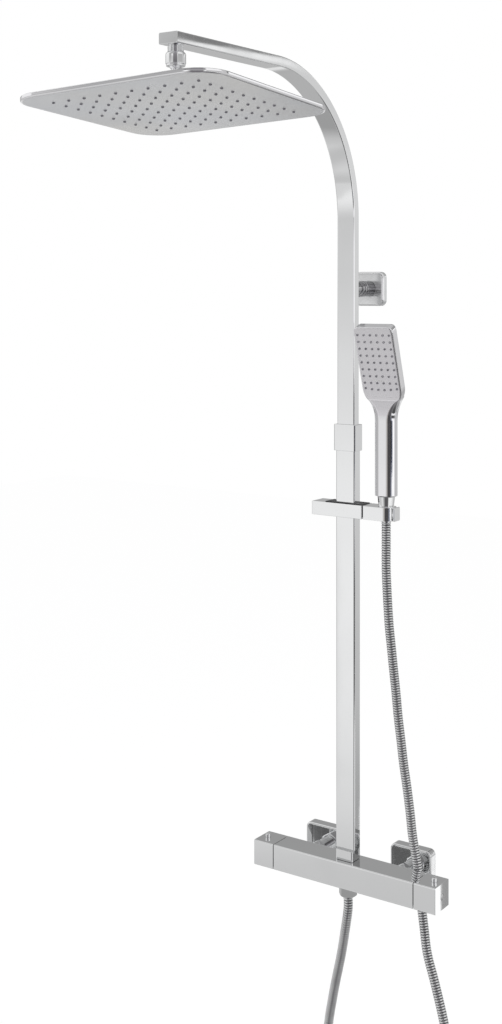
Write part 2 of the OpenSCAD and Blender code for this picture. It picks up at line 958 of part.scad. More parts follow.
module handset_shell() {
  face_y = -spray_t / 2 - 1;
  color(chrome) on_handset() difference() {
    union() {
      post(grip_w, grip_d, grip_r, grip_low, grip_top - 14);
      rod_z(half_inch, grip_low - 9, grip_low + 1);
      on_spray() spray_slab(spray_w, spray_h, spray_t, spray_corner, face_y, 0);
      hull() {
        post(grip_w, grip_d, grip_r, grip_top - 20, grip_top - 14);
        on_spray() translate([0, face_y + 1, spray_bottom + 10]) {
          rotate([-90, 0, 0]) linear_extrude(spray_t - 2) {
            round_rect(spray_w - 2, 6, 2);
          }
        }
      }
    }
    rod_z(water_r, grip_low - 10, grip_top + 6);
    on_spray() {
      rod_z(water_r - 1, -8, spray_bottom + 24);
      spray_slab(
        spray_w - 2 * spray_margin, spray_h - 2 * spray_margin, 9,
        spray_corner - spray_margin, face_y - 1, spray_margin
      );
    }
  }
}

module handset_face() {
  face_y = -spray_t / 2 - 1;
  color(satin) on_handset() on_spray() difference() {
    spray_slab(
      spray_w - 2 * spray_margin - 0.4, spray_h - 2 * spray_margin - 0.4,
      spray_plate, spray_corner - spray_margin, face_y, spray_margin + 0.2
    );
    spray_nozzles(face_y - 1, 5, 1.7);
  }
}

// Rods at the spray head's nozzles, the last row bowed
module spray_nozzles(y0, len, r) {
  top = spray_h - 12;
  for (i = [0 : spray_cols - 1]) {
    for (j = [0 : spray_rows - 1]) {
      off = i - (spray_cols - 1) / 2;
      bow = j == spray_rows - 1 ? 0.35 * off * off : 0;
      translate([off * spray_pitch * 0.93, y0, spray_bottom + top - j * spray_pitch + bow]) {
        rotate([-90, 0, 0]) cylinder(h = len, r = r, $fn = 16);
      }
    }
  }
}

module handset_nozzles() {
  face_y = -spray_t / 2 - 1;
  color(grey) on_handset() on_spray() {
    spray_slab(
      spray_w - 2 * spray_margin - 3, spray_h - 2 * spray_margin - 3, 1.5,
      4, face_y + spray_plate + 0.1, spray_margin + 1.5
    );
    spray_nozzles(face_y - 0.8, spray_plate + 1.5, 1.5);
  }
}

// ---------- hose ----------

function unit(v) = v / norm(v);

// Point on the smooth curve through the route, between point i and the next
function route_at(i, t) =
  let (
    n = len(route) - 1,
    a = route[max(i - 1, 0)],
    b = route[i],
    c = route[min(i + 1, n)],
    d = route[min(i + 2, n)]
  )
  b + 0.5 * t * (c - a + t * (2 * a - 5 * b + 4 * c - d + t * (3 * (b - c) + d - a)));

// Middle points of the tube's rings between two points of the route
function ring_centres(i0, i1, steps) = concat(
  [for (i = [i0 : i1 - 1]) for (k = [0 : steps - 1]) route_at(i, k / steps)],
  [route[i1]]
);

// Direction of the route at one of its points
function heading(i) =
  i == 0 ? [0, 0, -1] : i == len(route) - 1 ? [0, 0, 1] : unit(route[i + 1] - route[i - 1]);

// Closed tube swept along the route from one of its points to another
module sweep(i0, i1, steps) {
  points = ring_centres(i0, i1, steps);
  n = len(points);
  along = [
    for (i = [0 : n - 1])
      i == 0 ? heading(i0) : i == n - 1 ? heading(i1) : unit(points[i + 1] - points[i - 1])
  ];
  rings = [
    for (i = [0 : n - 1])
      let (
        out = unit(cross(along[i], [0, 1, 0])),
        up = cross(out, along[i]),
        seat = points[i] + (i == 0 && i0 > 0 ? section_gap : 0) * along[i]
      )
      for (k = [0 : hose_sides - 1])
        let (a = 360 * k / hose_sides)
        seat + hose_r * (cos(a) * out + sin(a) * up)
  ];
  wall = [
    for (i = [0 : n - 2])
      for (k = [0 : hose_sides - 1])
        let (m = (k + 1) % hose_sides, a = i * hose_sides, b = a + hose_sides)
        [a + k, a + m, b + m, b + k]
  ];
  first = [[for (k = [hose_sides - 1 : -1 : 0]) k]];
  last = [[for (k = [0 : hose_sides - 1]) (n - 1) * hose_sides + k]];
  polyhedron(points = rings, faces = concat(first, wall, last));
}

module hose() {
  color(chrome) sweep(0, bend_from, 2);
}

module hose_bend() {
  color(chrome) sweep(bend_from, lead_from, 2);
}

module hose_lead() {
  color(chrome) sweep(lead_from, len(route) - 1, 1);
}

// Conical nut that seats in the cradle
module hose_nut_top() {
  color(chrome) translate([cradle_x, axis_y, 0]) difference() {
    translate([0, 0, cone_low]) cylinder(h = cone_h, r1 = cone_low_r, r2 = cone_top_r);
    rod_z(hose_r + 0.3, cone_low - eps, cone_low + cone_h);
    rod_z(half_inch + thread_gap, grip_low - 14, cone_low + cone_h + eps);
  }
}

module hose_nut_bottom() {
  color(chrome) translate([0, axis_y, 0]) difference() {
    rotate([0, 0, 15]) intersection() {
      translate([0, 0, hex_low]) {
        cylinder(h = -valve_h / 2 - 0.6 - hex_low, r = hex_flat / cos(30), $fn = 6);
      }
      translate([0, 0, hex_low]) cylinder(h = 40, r1 = hex_flat - 1, r2 = hex_flat + 30);
    }
    rod_z(half_inch + thread_gap, hex_low + 3, 0);
    rod_z(hose_r + 0.3, hex_low - eps, 0);
  }
}

module hose_ferrule_top() {
  color(chrome) translate([cradle_x, axis_y, 0]) ferrule(hose_end, grip_low - 9.2);
}

module hose_ferrule_bottom() {
  color(chrome) translate([0, axis_y, 0]) ferrule(hose_start, outlet_low - 0.2);
}

// Crimped end of the hose inside its nut
module ferrule(z0, z1) {
  difference() {
    union() {
      rod_z(hose_r, z0, z1);
      rod_z(half_inch - 0.4, z1 - 2, z1);
    }
    rod_z(4, z0 + 1, z1 + eps);
  }
}

valve_body();
thermostatic_cartridge();
diverter_cartridge();
cartridge_nuts();
stop_rings();
inlet_tails();
check_valves();
inlet_nuts();
inlet_washers();
wall_unions();
cover_plates();
hose_outlet();
riser_connector();
lower_riser();
riser_collar();
collar_bush();
collar_grub_screw();
temperature_handle();
temperature_spindle();
temperature_screw_cap();
temperature_button();
temperature_button_spring();
flow_handle();
flow_spindle();
flow_screw_cap();
flow_button();
flow_button_spring();
upper_column();
telescope_plug();
telescope_seals();
arm_end_cap();
arm_block();
arm_nipple();
swivel_nut();
ball_seat();
swivel_ball();
head_back_shell();
head_face_plate();
head_nozzle_mat();
riser_boss();
bracket_stem();
bracket_cover();
bracket_wall_disc();
bracket_screw();
slider_body();
slider_bush();
slider_brake();
cradle_pivot();
cradle();
cradle_knob();
handset_shell();
handset_face();
handset_nozzles();
hose();
hose_bend();
hose_lead();
hose_nut_top();
hose_nut_bottom();
hose_ferrule_top();
hose_ferrule_bottom();
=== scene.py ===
import math
import bpy
import bmesh
from mathutils import Matrix, Vector


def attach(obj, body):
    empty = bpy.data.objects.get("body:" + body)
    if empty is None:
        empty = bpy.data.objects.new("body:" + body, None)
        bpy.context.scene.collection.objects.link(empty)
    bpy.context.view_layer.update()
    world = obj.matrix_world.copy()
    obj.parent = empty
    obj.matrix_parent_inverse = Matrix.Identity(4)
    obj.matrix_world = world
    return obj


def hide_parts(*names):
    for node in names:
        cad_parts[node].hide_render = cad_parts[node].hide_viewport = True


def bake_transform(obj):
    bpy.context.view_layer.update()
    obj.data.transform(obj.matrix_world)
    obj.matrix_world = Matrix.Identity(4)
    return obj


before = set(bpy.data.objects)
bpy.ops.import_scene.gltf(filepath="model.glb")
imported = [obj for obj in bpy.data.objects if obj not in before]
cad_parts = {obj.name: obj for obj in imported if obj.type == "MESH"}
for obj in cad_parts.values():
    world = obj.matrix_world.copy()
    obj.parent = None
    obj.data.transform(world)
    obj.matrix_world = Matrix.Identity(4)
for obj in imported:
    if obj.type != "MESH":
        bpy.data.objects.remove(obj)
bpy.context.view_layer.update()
mm = 0.001
axisY = -71  # the valve's and riser's axis, in front of the wall
print("shower column: frame loaded")

# camera
cameraSetup = {"place": (1.0785, -1.875, 0.872), "turn": 34.824, "lens": 49.397, "rise": -0.22}


def addObject(name, data):
    made = bpy.data.objects.new(name, data)
    bpy.context.collection.objects.link(made)
    return made


def makeCamera(setup):
    lens = bpy.data.cameras.new("camera")
    lens.lens = setup["lens"]
    lens.shift_y = setup["rise"]
    lens.clip_end = 60
    camera = addObject("camera", lens)
    camera.location = setup["place"]
    camera.rotation_euler = (math.radians(90), 0, math.radians(setup["turn"]))
    bpy.context.scene.camera = camera


makeCamera(cameraSetup)
print("camera placed")


# finishes: a socket takes another node's output, a number or a colour
def feed(owner, socket, value):
    if isinstance(value, bpy.types.NodeSocket):
        owner.node_tree.links.new(value, socket)
    elif isinstance(value, tuple) and len(socket.default_value) > len(value):
        socket.default_value = (*value, 1)
    else:
        socket.default_value = value


# values go to the sockets in turn; settings are the node's own, or a socket's with _ for a space
def addNode(owner, kind, *values, **settings):
    node = owner.node_tree.nodes.new("ShaderNode" + kind)
    for key, value in settings.items():
        if hasattr(node, key):
            setattr(node, key, value)
        else:
            feed(owner, node.inputs[key.replace("_", " ")], value)
    for socket, value in zip(node.inputs, values):
        feed(owner, socket, value)
    return node


def toShader(finish, socket, value):
    feed(finish, finish.node_tree.nodes["Principled BSDF"].inputs[socket], value)


def newFinish(name, colour, metallic, roughness):
    finish = bpy.data.materials.new(name)
    finish.use_nodes = True
    toShader(finish, "Base Color", colour)
    toShader(finish, "Metallic", metallic)
    toShader(finish, "Roughness", roughness)
    return finish


def worked(owner, operation, *values):
    return addNode(owner, "Math", *values, operation=operation).outputs[0]


def blended(owner, share, first, second):
    node = addNode(owner, "Mix", share, data_type="RGBA")
    feed(owner, node.inputs[6], first)
    feed(owner, node.inputs[7], second)
    return node.outputs[2]


# noise read at the piece's own coordinates, in metres
def noise(finish, scale, detail=3, stretch=(1, 1, 1)):
    place = addNode(finish, "TexCoord").outputs["Object"]
    spot = addNode(finish, "Mapping", Vector=place, Scale=stretch).outputs[0]
    return addNode(finish, "TexNoise", Vector=spot, Scale=scale, Detail=detail).outputs["Fac"]


# maps start..end to low..high, and holds it there on both sides
def spread(owner, value, low, high, start=0.3, end=0.7):
    node = addNode(owner, "MapRange", value, From_Min=start, From_Max=end, To_Min=low, To_Max=high)
    return node.outputs["Result"]


# colour stops, each (place, colour)
def ramp(owner, value, stops):
    node = addNode(owner, "ValToRGB", value)
    stack = node.color_ramp.elements
    while len(stack) < len(stops):
        stack.new(0.5)
    for stop, (place, _) in zip(stack, stops):
        stop.position = place
    for stop, (place, colour) in zip(stack, stops):
        stop.position = place
        stop.color = (*colour, 1)
    return node.outputs["Color"]


def mixed(finish, value, dark, light):
    return ramp(finish, value, [(0.3, dark), (0.7, light)])


def raised(finish, height, strength, distance):
    bump = addNode(finish, "Bump", Height=height, Strength=strength, Distance=distance)
    return bump.outputs["Normal"]


# polished plating: faint smears, dried water spots and hair scratches
def platedMetal(name, colour, shade, gloss, smear, scratch, wave, lift):
    hairs = {"scale": 900, "stretch": (1, 1, 0.02), "from": 0.62, "to": 0.75}
    waveHeight = 0.0004
    finish = newFinish(name, colour, 1, gloss[0])
    smears = spread(finish, noise(finish, smear, 4), *gloss)
    scratches = noise(finish, hairs["scale"], 2, hairs["stretch"])
    scratches = spread(finish, scratches, 0, scratch, hairs["from"], hairs["to"])
    toShader(finish, "Roughness", worked(finish, "ADD", smears, scratches))
    toShader(finish, "Base Color", mixed(finish, noise(finish, smear * 0.6, 2), shade, colour))
    toShader(finish, "Normal", raised(finish, noise(finish, wave, 2), lift, waveHeight))
    return finish


# satin plating or moulded plastic: an even fine grain over a soft tone change
def grainedSurface(name, colour, shade, metallic, gloss, smear, grain, lift):
    grainHeight = 0.0003
    finish = newFinish(name, colour, metallic, gloss[0])
    toShader(finish, "Roughness", spread(finish, noise(finish, smear), *gloss))
    toShader(finish, "Base Color", mixed(finish, noise(finish, smear * 0.7, 2), shade, colour))
    toShader(finish, "Normal", raised(finish, noise(finish, grain, 2), lift, grainHeight))
    return finish


finishes = {
    "chrome": platedMetal(
        "chrome", colour=(0.9, 0.905, 0.91), shade=(0.86, 0.865, 0.87),
        gloss=(0.035, 0.085), smear=14, scratch=0.05, wave=26, lift=0.05),
    "plated_plastic": platedMetal(
        "platedPlastic", colour=(0.88, 0.875, 0.89), shade=(0.84, 0.84, 0.86),
        gloss=(0.05, 0.1), smear=22, scratch=0.03, wave=60, lift=0.06),
    "satin_plastic": grainedSurface(
        "satinPlastic", colour=(0.8, 0.79, 0.81), shade=(0.76, 0.755, 0.775), metallic=0.85,
        gloss=(0.3, 0.38), smear=10, grain=4200, lift=0.1),
    "headSatin": grainedSurface(
        "headSatin", colour=(0.82, 0.84, 0.88), shade=(0.86, 0.85, 0.83), metallic=0.95,
        gloss=(0.24, 0.32), smear=6, grain=3800, lift=0.1),
    # painted shade: a darker copy of the chrome for the bracket stem, which sits between the wall
    # cover and the riser
    "shadedChrome": platedMetal(
        "shadedChrome", colour=(0.46, 0.46, 0.47), shade=(0.4, 0.4, 0.41),
        gloss=(0.05, 0.1), smear=30, scratch=0.04, wave=40, lift=0.05),
    "softPlating": grainedSurface(
        "softPlating", colour=(0.86, 0.865, 0.87), shade=(0.8, 0.805, 0.81), metallic=0.72,
        gloss=(0.12, 0.18), smear=16, grain=3000, lift=0.03),
    "polished": platedMetal(
        "polishedChrome", colour=(0.9, 0.905, 0.91), shade=(0.87, 0.875, 0.88),
        gloss=(0.01, 0.022), smear=14, scratch=0.012, wave=30, lift=0.012),
    "steel": platedMetal(
        "steel", colour=(0.62, 0.62, 0.63), shade=(0.52, 0.52, 0.53),
        gloss=(0.22, 0.36), smear=120, scratch=0.12, wave=300, lift=0.1),
    "brass": platedMetal(
        "brass", colour=(0.8, 0.62, 0.3), shade=(0.62, 0.44, 0.19),
        gloss=(0.2, 0.38), smear=90, scratch=0.1, wave=260, lift=0.12),
    "black_plastic": grainedSurface(
        "blackPlastic", colour=(0.03, 0.03, 0.032), shade=(0.018, 0.018, 0.02), metallic=0,
        gloss=(0.35, 0.5), smear=60, grain=3000, lift=0.2),
    "white_plastic": grainedSurface(
        "whitePlastic", colour=(0.82, 0.82, 0.8), shade=(0.74, 0.74, 0.71), metallic=0,
        gloss=(0.3, 0.42), smear=60, grain=2600, lift=0.15),
    "rubber": grainedSurface(
        "rubber", colour=(0.045, 0.045, 0.045), shade=(0.025, 0.025, 0.025), metallic=0,
        gloss=(0.65, 0.8), smear=90, grain=1800, lift=0.35),
    "nozzle_rubber": grainedSurface(
        "nozzleRubber", colour=(0.36, 0.35, 0.38), shade=(0.29, 0.285, 0.32), metallic=0,
        gloss=(0.5, 0.62), smear=300, grain=2600, lift=0.25),
}


# wound metal hose: plating with painted shade, darker down in the grooves
def ribbedMetal(name, dirt, **plating):
    finish = platedMetal(name, **plating)
    groove = addNode(finish, "Attribute", attribute_name="grooveDepth").outputs["Fac"]
    tone = finish.node_tree.nodes["Principled BSDF"].inputs["Base Color"].links[0].from_socket
    # painted shade: the deeper a ring lies in a groove, the more its colour turns to the groove shade
    grooveShadeShare = spread(finish, groove, 0, 1, 0.1, 0.8)
    toShader(finish, "Base Color", blended(finish, grooveShadeShare, tone, dirt))
    return finish


# the last colour is the painted shade in the hose's grooves
finishes["hose"] = ribbedMetal(
    "hoseMetal", colour=(0.88, 0.885, 0.89), shade=(0.8, 0.805, 0.81), gloss=(0.06, 0.12),
    smear=60, scratch=0.06, wave=500, lift=0.1, dirt=(0.13, 0.13, 0.135))


# satin on the spray face, turning to the handle's gloss down the neck
def fadingSatin(name, fade, polish, **satin):
    finish = grainedSurface(name, **satin)
    place = addNode(finish, "TexCoord").outputs["Object"]
    share = spread(finish, addNode(finish, "SeparateXYZ", place).outputs["Z"], 0, 1, *fade)
    dull = spread(finish, noise(finish, satin["smear"]), *satin["gloss"])
    toShader(finish, "Roughness", worked(finish, "MULTIPLY_ADD", share, dull, polish))
    return finish


finishes["faceSatin"] = fadingSatin(
    "faceSatin", colour=(0.84, 0.825, 0.85), shade=(0.8, 0.785, 0.815), metallic=0.95,
    gloss=(0.24, 0.3), smear=9, grain=4200, lift=0.08, fade=(0.686, 0.722), polish=0.06)
# a node keeps its slot's finish; its pieces may take a closer one
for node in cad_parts.values():
    for place in node.material_slots:
        place.material = finishes[place.material.name.split(".")[0]]
print("finishes made:", len(finishes))


# shapes: each builder returns a bmesh in millimetres, about its own Z axis
weldGap = 0.0005


# edges of a rounded rectangle, in a place of its own
def outline(bm, width, depth, corner, height=0, middle=(0, 0), steps=5, place=Matrix()):
    made = bmesh.ops.create_grid(bm, x_segments=1, y_segments=1, size=0.5)
    bmesh.ops.scale(bm, vec=(width, depth, 1), verts=made["verts"])
    if corner:
        made = bmesh.ops.bevel(
            bm, geom=made["verts"], offset=corner, offset_type="OFFSET", segments=steps,
            profile=0.5, affect="VERTICES", material=-1)
    face = made["verts"][0].link_faces[0]
    edges, verts = face.edges[:], face.verts[:]
    bmesh.ops.translate(bm, vec=(*middle, height), verts=verts)
    bmesh.ops.transform(bm, matrix=place, verts=verts)
    bmesh.ops.delete(bm, geom=[face], context="FACES_ONLY")
    return edges


# skin through rounded rectangles, each (width, depth, corner, height, middle);
# each strip is bridged by itself, because rings in one plane can twist together
def loft(rings, closed=False, steps=5, places=None):
    bm = bmesh.new()
    places = places or [Matrix()] * len(rings)
    order = list(range(len(rings))) + ([0] if closed else [])
    strips = []
    for pair in zip(order, order[1:]):
        loops = [outline(bm, *rings[i], steps=steps, place=places[i]) for i in pair]
        bmesh.ops.bridge_loops(bm, edges=loops[0] + loops[1])
        strips.append(loops)
    if not closed:
        for loop in (strips[0][0], strips[-1][1]):
            bmesh.ops.contextual_create(bm, geom=loop)
    bmesh.ops.remove_doubles(bm, verts=bm.verts[:], dist=weldGap)
    return bm


# profile of (radius, height) spun about Z
def turned(profile, sides=48):
    bm = bmesh.new()
    verts = [bm.verts.new((r, 0, z)) for r, z in profile]
    edges = [bm.edges.new(pair) for pair in zip(verts, verts[1:])]
    if profile[0][0] > 0 and profile[-1][0] > 0:
        edges.append(bm.edges.new((verts[-1], verts[0])))
    bmesh.ops.spin(
        bm, geom=verts + edges, cent=(0, 0, 0), axis=(0, 0, 1), angle=math.tau,
        steps=sides, use_merge=True, use_duplicate=False)
    bmesh.ops.remove_doubles(bm, verts=bm.verts[:], dist=weldGap)
    return bm


# ridges of a screwed end, as points of a profile
def ridges(radius, start, end, pitch=1.8, depth=0.9):
    count = max(1, int(abs(end - start) / pitch))
    step = (end - start) / count
    crest = radius - depth * 0.1
    points = []
    for i in range(count):
        z = start + i * step
        points += [(radius - depth, z), (crest, z + 0.38 * step), (crest, z + 0.62 * step)]
    return points + [(radius - depth, end)]


# turns an angle so that a square's edge points spread evenly round a circle
def evenAngle(x, y):
    angle = math.atan2(y, x)
    side = math.radians(90) * round(angle / math.radians(90))
    return side + math.radians(45) * math.tan(angle - side)


# hexagonal nut with chamfered corners, flats facing Y
def hexNut(flat, low, high, bores, sides=72):
    chamfer, fall, rim, edge = 0.7, 0.62, flat * 0.96, 0.02
    profile = [bores[0]]
    for (inner, _), (outer, z) in zip(bores, bores[1:]):
        profile += [(inner, z), (outer, z)]
    profile.append((bores[-1][0], high))
    profile += [(rim, high), (flat, high - edge), (flat, low + edge), (rim, low)]
    bm = turned(profile, sides)
    sixth, half = math.radians(60), math.radians(30)
    for vert in bm.verts:
        r = math.hypot(vert.co.x, vert.co.y)
        if r > (rim + flat) / 2:
            angle = math.atan2(vert.co.y, vert.co.x)
            wide = flat / math.cos(angle - sixth * round((angle - half) / sixth) - half)
            drop = chamfer + (wide - flat) * fall
            vert.co.x *= wide / r
            vert.co.y *= wide / r
            vert.co.z += -drop if vert.co.z > (low + high) / 2 else drop
    return bm


# round sunk hole in a flat face: steps are (radius, depth)
def drill(bm, middle, out, steps, patch=None, sides=24):
    middle, out = Vector(middle), Vector(out)
    across = Vector((0, 0, 1)) if abs(out.z) < 0.5 else Vector((1, 0, 0))
    up = out.cross(across)
    half = patch or steps[0][0] * 1.5
    for direction in (across, -across, up, -up):
        bmesh.ops.bisect_plane(
            bm, geom=bm.verts[:] + bm.edges[:] + bm.faces[:],
            plane_co=middle + direction * half, plane_no=direction, dist=0.0001)
    bm.normal_update()
    near = [f for f in bm.faces if abs(f.normal.dot(out)) > 0.99]
    face = min(near, key=lambda f: (f.calc_center_median() - middle).length)
    bmesh.ops.bisect_edges(bm, edges=face.edges[:], cuts=sides // 4 - 1)
    bmesh.ops.inset_region(bm, faces=[face], thickness=0.05)
    for i, (radius, depth) in enumerate(steps):
        if i:
            face = bmesh.ops.extrude_discrete_faces(bm, faces=[face])["faces"][0]
        for vert in face.verts:
            x, y = ((vert.co - middle).dot(way) for way in (across, up))
            angle = math.atan2(y, x) if i else evenAngle(x, y)
            flat = math.cos(angle) * across + math.sin(angle) * up
            vert.co = middle + radius * flat - out * depth


# rounds the sharp edges
def soften(bm, width, segments=2, angle=35):
    bmesh.ops.recalc_face_normals(bm, faces=bm.faces[:])
    sharp = [e for e in bm.edges if e.is_manifold and e.calc_face_angle(0) > math.radians(angle)]
    bmesh.ops.bevel(
        bm, geom=sharp, offset=width, offset_type="OFFSET", segments=segments, profile=0.5,
        affect="EDGES", material=-1, clamp_overlap=True)
    return bm


# adds a part to a piece, in its place
def addPart(bm, part, place=Matrix()):
    bmesh.ops.recalc_face_normals(part, faces=part.faces[:])
    part.transform(place)
    mesh = bpy.data.meshes.new("part")
    part.to_mesh(mesh)
    part.free()
    bm.from_mesh(mesh)
    bpy.data.meshes.remove(mesh)
    return bm


def placed(part, place=Matrix()):
    return addPart(bmesh.new(), part, place)


# axes of a part that points right, into the wall, or out of it
def toRight(z=0):
    return Matrix(((0, 0, 1, 0), (1, 0, 0, axisY), (0, 1, 0, z), (0, 0, 0, 1)))


def toWall(x):
    return Matrix(((0, 1, 0, x), (0, 0, 1, 0), (1, 0, 0, 0), (0, 0, 0, 1)))


def toFront(x=0, z=0):
    return Matrix(((1, 0, 0, x), (0, 0, -1, 0), (0, 1, 0, z), (0, 0, 0, 1)))


def onAxis(x=0, z=0):
    return shifted(x, axisY, z)


def shifted(x=0, y=0, z=0):
    return Matrix.Translation((x, y, z))


def turn(degrees, axis):
    return Matrix.Rotation(math.radians(degrees), 4, axis)


# the left half of the valve is the right half turned round
leftSide = onAxis() @ turn(180, "Z") @ onAxis().inverted()


# a piece stands for the node of its own name, as armEndCap for arm_end_cap, or for those given;
# painted(face) says which faces take the second finish
def makePiece(
        name, bm, body, slot="chrome", nodes=None, smooth=32, finish=None, second=None, painted=None):
    if painted:
        bm.normal_update()
        for face in bm.faces:
            face.material_index = 1 if painted(face) else 0
    bm.transform(Matrix.Scale(mm, 4))
    piece = toObject(name, bm, [finish or slot] + ([second] if second else []), smooth)
    shading = piece.modifiers.new("shading", "WEIGHTED_NORMAL")
    shading.keep_sharp = True
    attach(piece, body)
    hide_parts(*(nodes or ["".join("_" + c.lower() if c.isupper() else c for c in name)]))


def toObject(name, bm, wanted, smooth):
    mesh = bpy.data.meshes.new(name)
    bm.to_mesh(mesh)
    bm.free()
    for finish in wanted:
        mesh.materials.append(finishes[finish])
    mesh.shade_smooth()
    mesh.set_sharp_from_angle(angle=math.radians(smooth))
    return addObject(name, mesh)


# hose: strip-wound metal tube, in millimetres, in four lengths along one hanging route
hose = {
    "radius": 7, "groove": 5.8, "shoulder": 6.75, "pitch": 3.7, "sides": 20,
    # these depths also set how much painted shade each ring takes
    "depths": (1.0, 0.2, 0.0, 0.2),  # how deep in a groove each of a rib's four rings is
    "route": [
        (0, -71, -38.5), (0, -71, -56.5), (-6, -70, -92), (-15, -66, -131), (-31, -62, -195),
        (-43, -59, -260), (-43, -57, -325), (-25, -55, -385), (12, -54, -430), (60, -53, -445),
        (108, -52, -430), (145, -51, -385), (162, -50, -325), (160, -49, -260), (148, -48, -195),
        (133, -48, -140), (120, -47, -100), (113, -44, -65), (106, -41, -27), (101, -41, 18),
        (93, -42, 64), (90, -44, 98), (86, -46, 134), (82, -49, 169), (79, -52, 205),
        (76, -55, 240), (74, -58, 276), (72, -62, 312), (70, -65, 345), (68, -68, 378),
        (66, -70, 425), (65, -71, 460), (65, -71, 495), (65, -71, 527),
    ],
    # name, stretch of the route, CAD node, the two bodies and the blend's ends between them;
    # the first two meet at the lowest point, which sinks half as far as the slider
    "lengths": [
        ("hoseDrop", 0, 9, "hose", "valve", "slider", (0, 0, -38.5), (0, 0, -851.5)),
        ("hoseLoop", 9, 28, "hose", "valve", "slider", (0, 0, -1235), (0, 0, 345)),
        ("hoseRise", 28, 31, "hose_bend", "slider", "holder", (65, -71, 345), (65, -71, 460)),
        ("hoseTip", 31, 33, "hose_lead", "holder", "hose_end", (65, -71, 460), (65, -71, 527)),
    ],
}
hosePoints = [Vector(p) * mm for p in hose["route"]]


def hoseAt(i, t):
    last = len(hosePoints) - 1
    a, b = hosePoints[max(i - 1, 0)], hosePoints[i]
    c, d = hosePoints[min(i + 1, last)], hosePoints[min(i + 2, last)]
    return b + 0.5 * t * (c - a + t * (2 * a - 5 * b + 4 * c - d + t * (3 * (b - c) + d - a)))


# evenly spaced points between two of the route's points, four to a rib
def hosePath(first, last, pitch, fineness=40):
    fine = [hoseAt(i, k / fineness) for i in range(first, last) for k in range(fineness)]
    fine.append(hosePoints[last])
    length = sum((b - a).length for a, b in zip(fine, fine[1:]))
    ribs = round(length / pitch)
    step = length / (ribs * 4)
    path, walked, wanted = [fine[0]], 0, step
    for a, b in zip(fine, fine[1:]):
        gap = (b - a).length
        while wanted <= walked + gap + 1e-9 and len(path) < ribs * 4:
            path.append(a.lerp(b, (wanted - walked) / gap))
            wanted += step
        walked += gap
    path.append(fine[-1])
    return path, length


def hoseRun(name, first, last, sides):
    path, length = hosePath(first, last, hose["pitch"] * mm)
    swell = [hose[ring] * mm for ring in ("groove", "shoulder", "radius", "shoulder")]
    bm = bmesh.new()
    rings = []
    for i, point in enumerate(path):
        ahead = path[min(i + 1, len(path) - 1)] - path[max(i - 1, 0)]
        if i in (0, len(path) - 1):
            k = first if i == 0 else last
            ends = (max(k - 1, 0), min(k + 1, len(hosePoints) - 1))
            ahead = hosePoints[ends[1]] - hosePoints[ends[0]]
        ahead.normalize()
        out = ahead.cross(Vector((0, 1, 0))).normalized()
        up = out.cross(ahead)
        rings.append([
            bm.verts.new(point + swell[i % 4] * (math.cos(a) * out + math.sin(a) * up))
            for a in (math.tau * k / sides for k in range(sides))])
    for low, high in zip(rings, rings[1:]):
        for k in range(sides):
            m = (k + 1) % sides
            bm.faces.new((low[k], low[m], high[m], high[k]))
    bm.faces.new(rings[0][::-1])
    bm.faces.new(rings[-1])
    bmesh.ops.recalc_face_normals(bm, faces=bm.faces[:])
    piece = toObject(name, bm, ["hose"], 60)
    mesh = piece.data
    # the groove depth of each vertex, which sets the painted groove shade in the hose finish
    depth = mesh.attributes.new("grooveDepth", "FLOAT", "POINT")
    depths = [hose["depths"][k // sides % 4] for k in range(len(mesh.vertices))]
    depth.data.foreach_set("value", depths)
    return piece, path, length


for name, first, last, node, fixed, moving, start, end in hose["lengths"]:
    piece, path, length = hoseRun(name, first, last, hose["sides"])
    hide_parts(node)
    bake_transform(piece)

# thermostatic bar valve
valve = {
    "section": (42, 38, 1.2), "body": 120, "handle": (121, 156), "button": 144,
    "bore": [(15, 0), (15, 4)], "cup": [(15, 0), (15, 13)], "capHole": [(4.5, 0), (4.5, 3.8)],
    "buttonPocket": [(4.3, 0), (4.3, 4), (5.2, 4), (5.2, 12.4)],
    "edge": 0.3, "patch": 17,
    "cap": [
        (0, 152.2), (4.2, 152.2), (4.2, 155.6), (3.95, 156), (3, 156.25), (1.6, 156.38), (0, 156.4)],
    "buttonSkin": [
        (0, 12.7), (5, 12.7), (5, 14.5), (4, 14.6), (4, 19.9), (3.75, 20), (3.75, 20.3),
        (4, 20.4), (4, 24), (3.85, 24.5), (3.4, 24.85), (2.9, 24.95), (2.4, 24.7), (0, 24.7)],
}


def bar(section, low, high, edge):
    wide, deep, corner = section
    rings = [
        (wide - 2 * edge, deep - 2 * edge, corner - edge / 2, low),
        (wide, deep, corner, low + edge), (wide, deep, corner, high - edge),
        (wide - 2 * edge, deep - 2 * edge, corner - edge / 2, high)]
    return loft(rings, steps=4)


body = bar(valve["section"], -valve["body"], valve["body"], valve["edge"])
for side in (1, -1):
    drill(body, (0, 0, side * valve["body"]), (0, 0, side), valve["bore"], valve["patch"])
makePiece("valveBody", placed(body, toRight()), "valve")


def handlePart(setup):
    low, high = setup["handle"]
    part = bar(setup["section"], low, high, setup["edge"])
    drill(part, (0, 0, low), (0, 0, -1), setup["cup"], setup["patch"])
    drill(part, (0, 0, high), (0, 0, 1), setup["capHole"])
    drill(part, (0, setup["section"][1] / 2, setup["button"]), (0, 1, 0), setup["buttonPocket"])
    return part


for name, side in (("temperature", Matrix()), ("flow", leftSide)):
    handle = placed(handlePart(valve), side @ toRight())
    makePiece(name + "Handle", handle, name, finish="polished")
    makePiece(name + "ScrewCap", placed(turned(valve["cap"], 32), side @ toRight()), name)
    button = placed(turned(valve["buttonSkin"], 32), side @ onAxis(valve["button"]))
    makePiece(name + "Button", button, name + "_stop")
print("valve built")

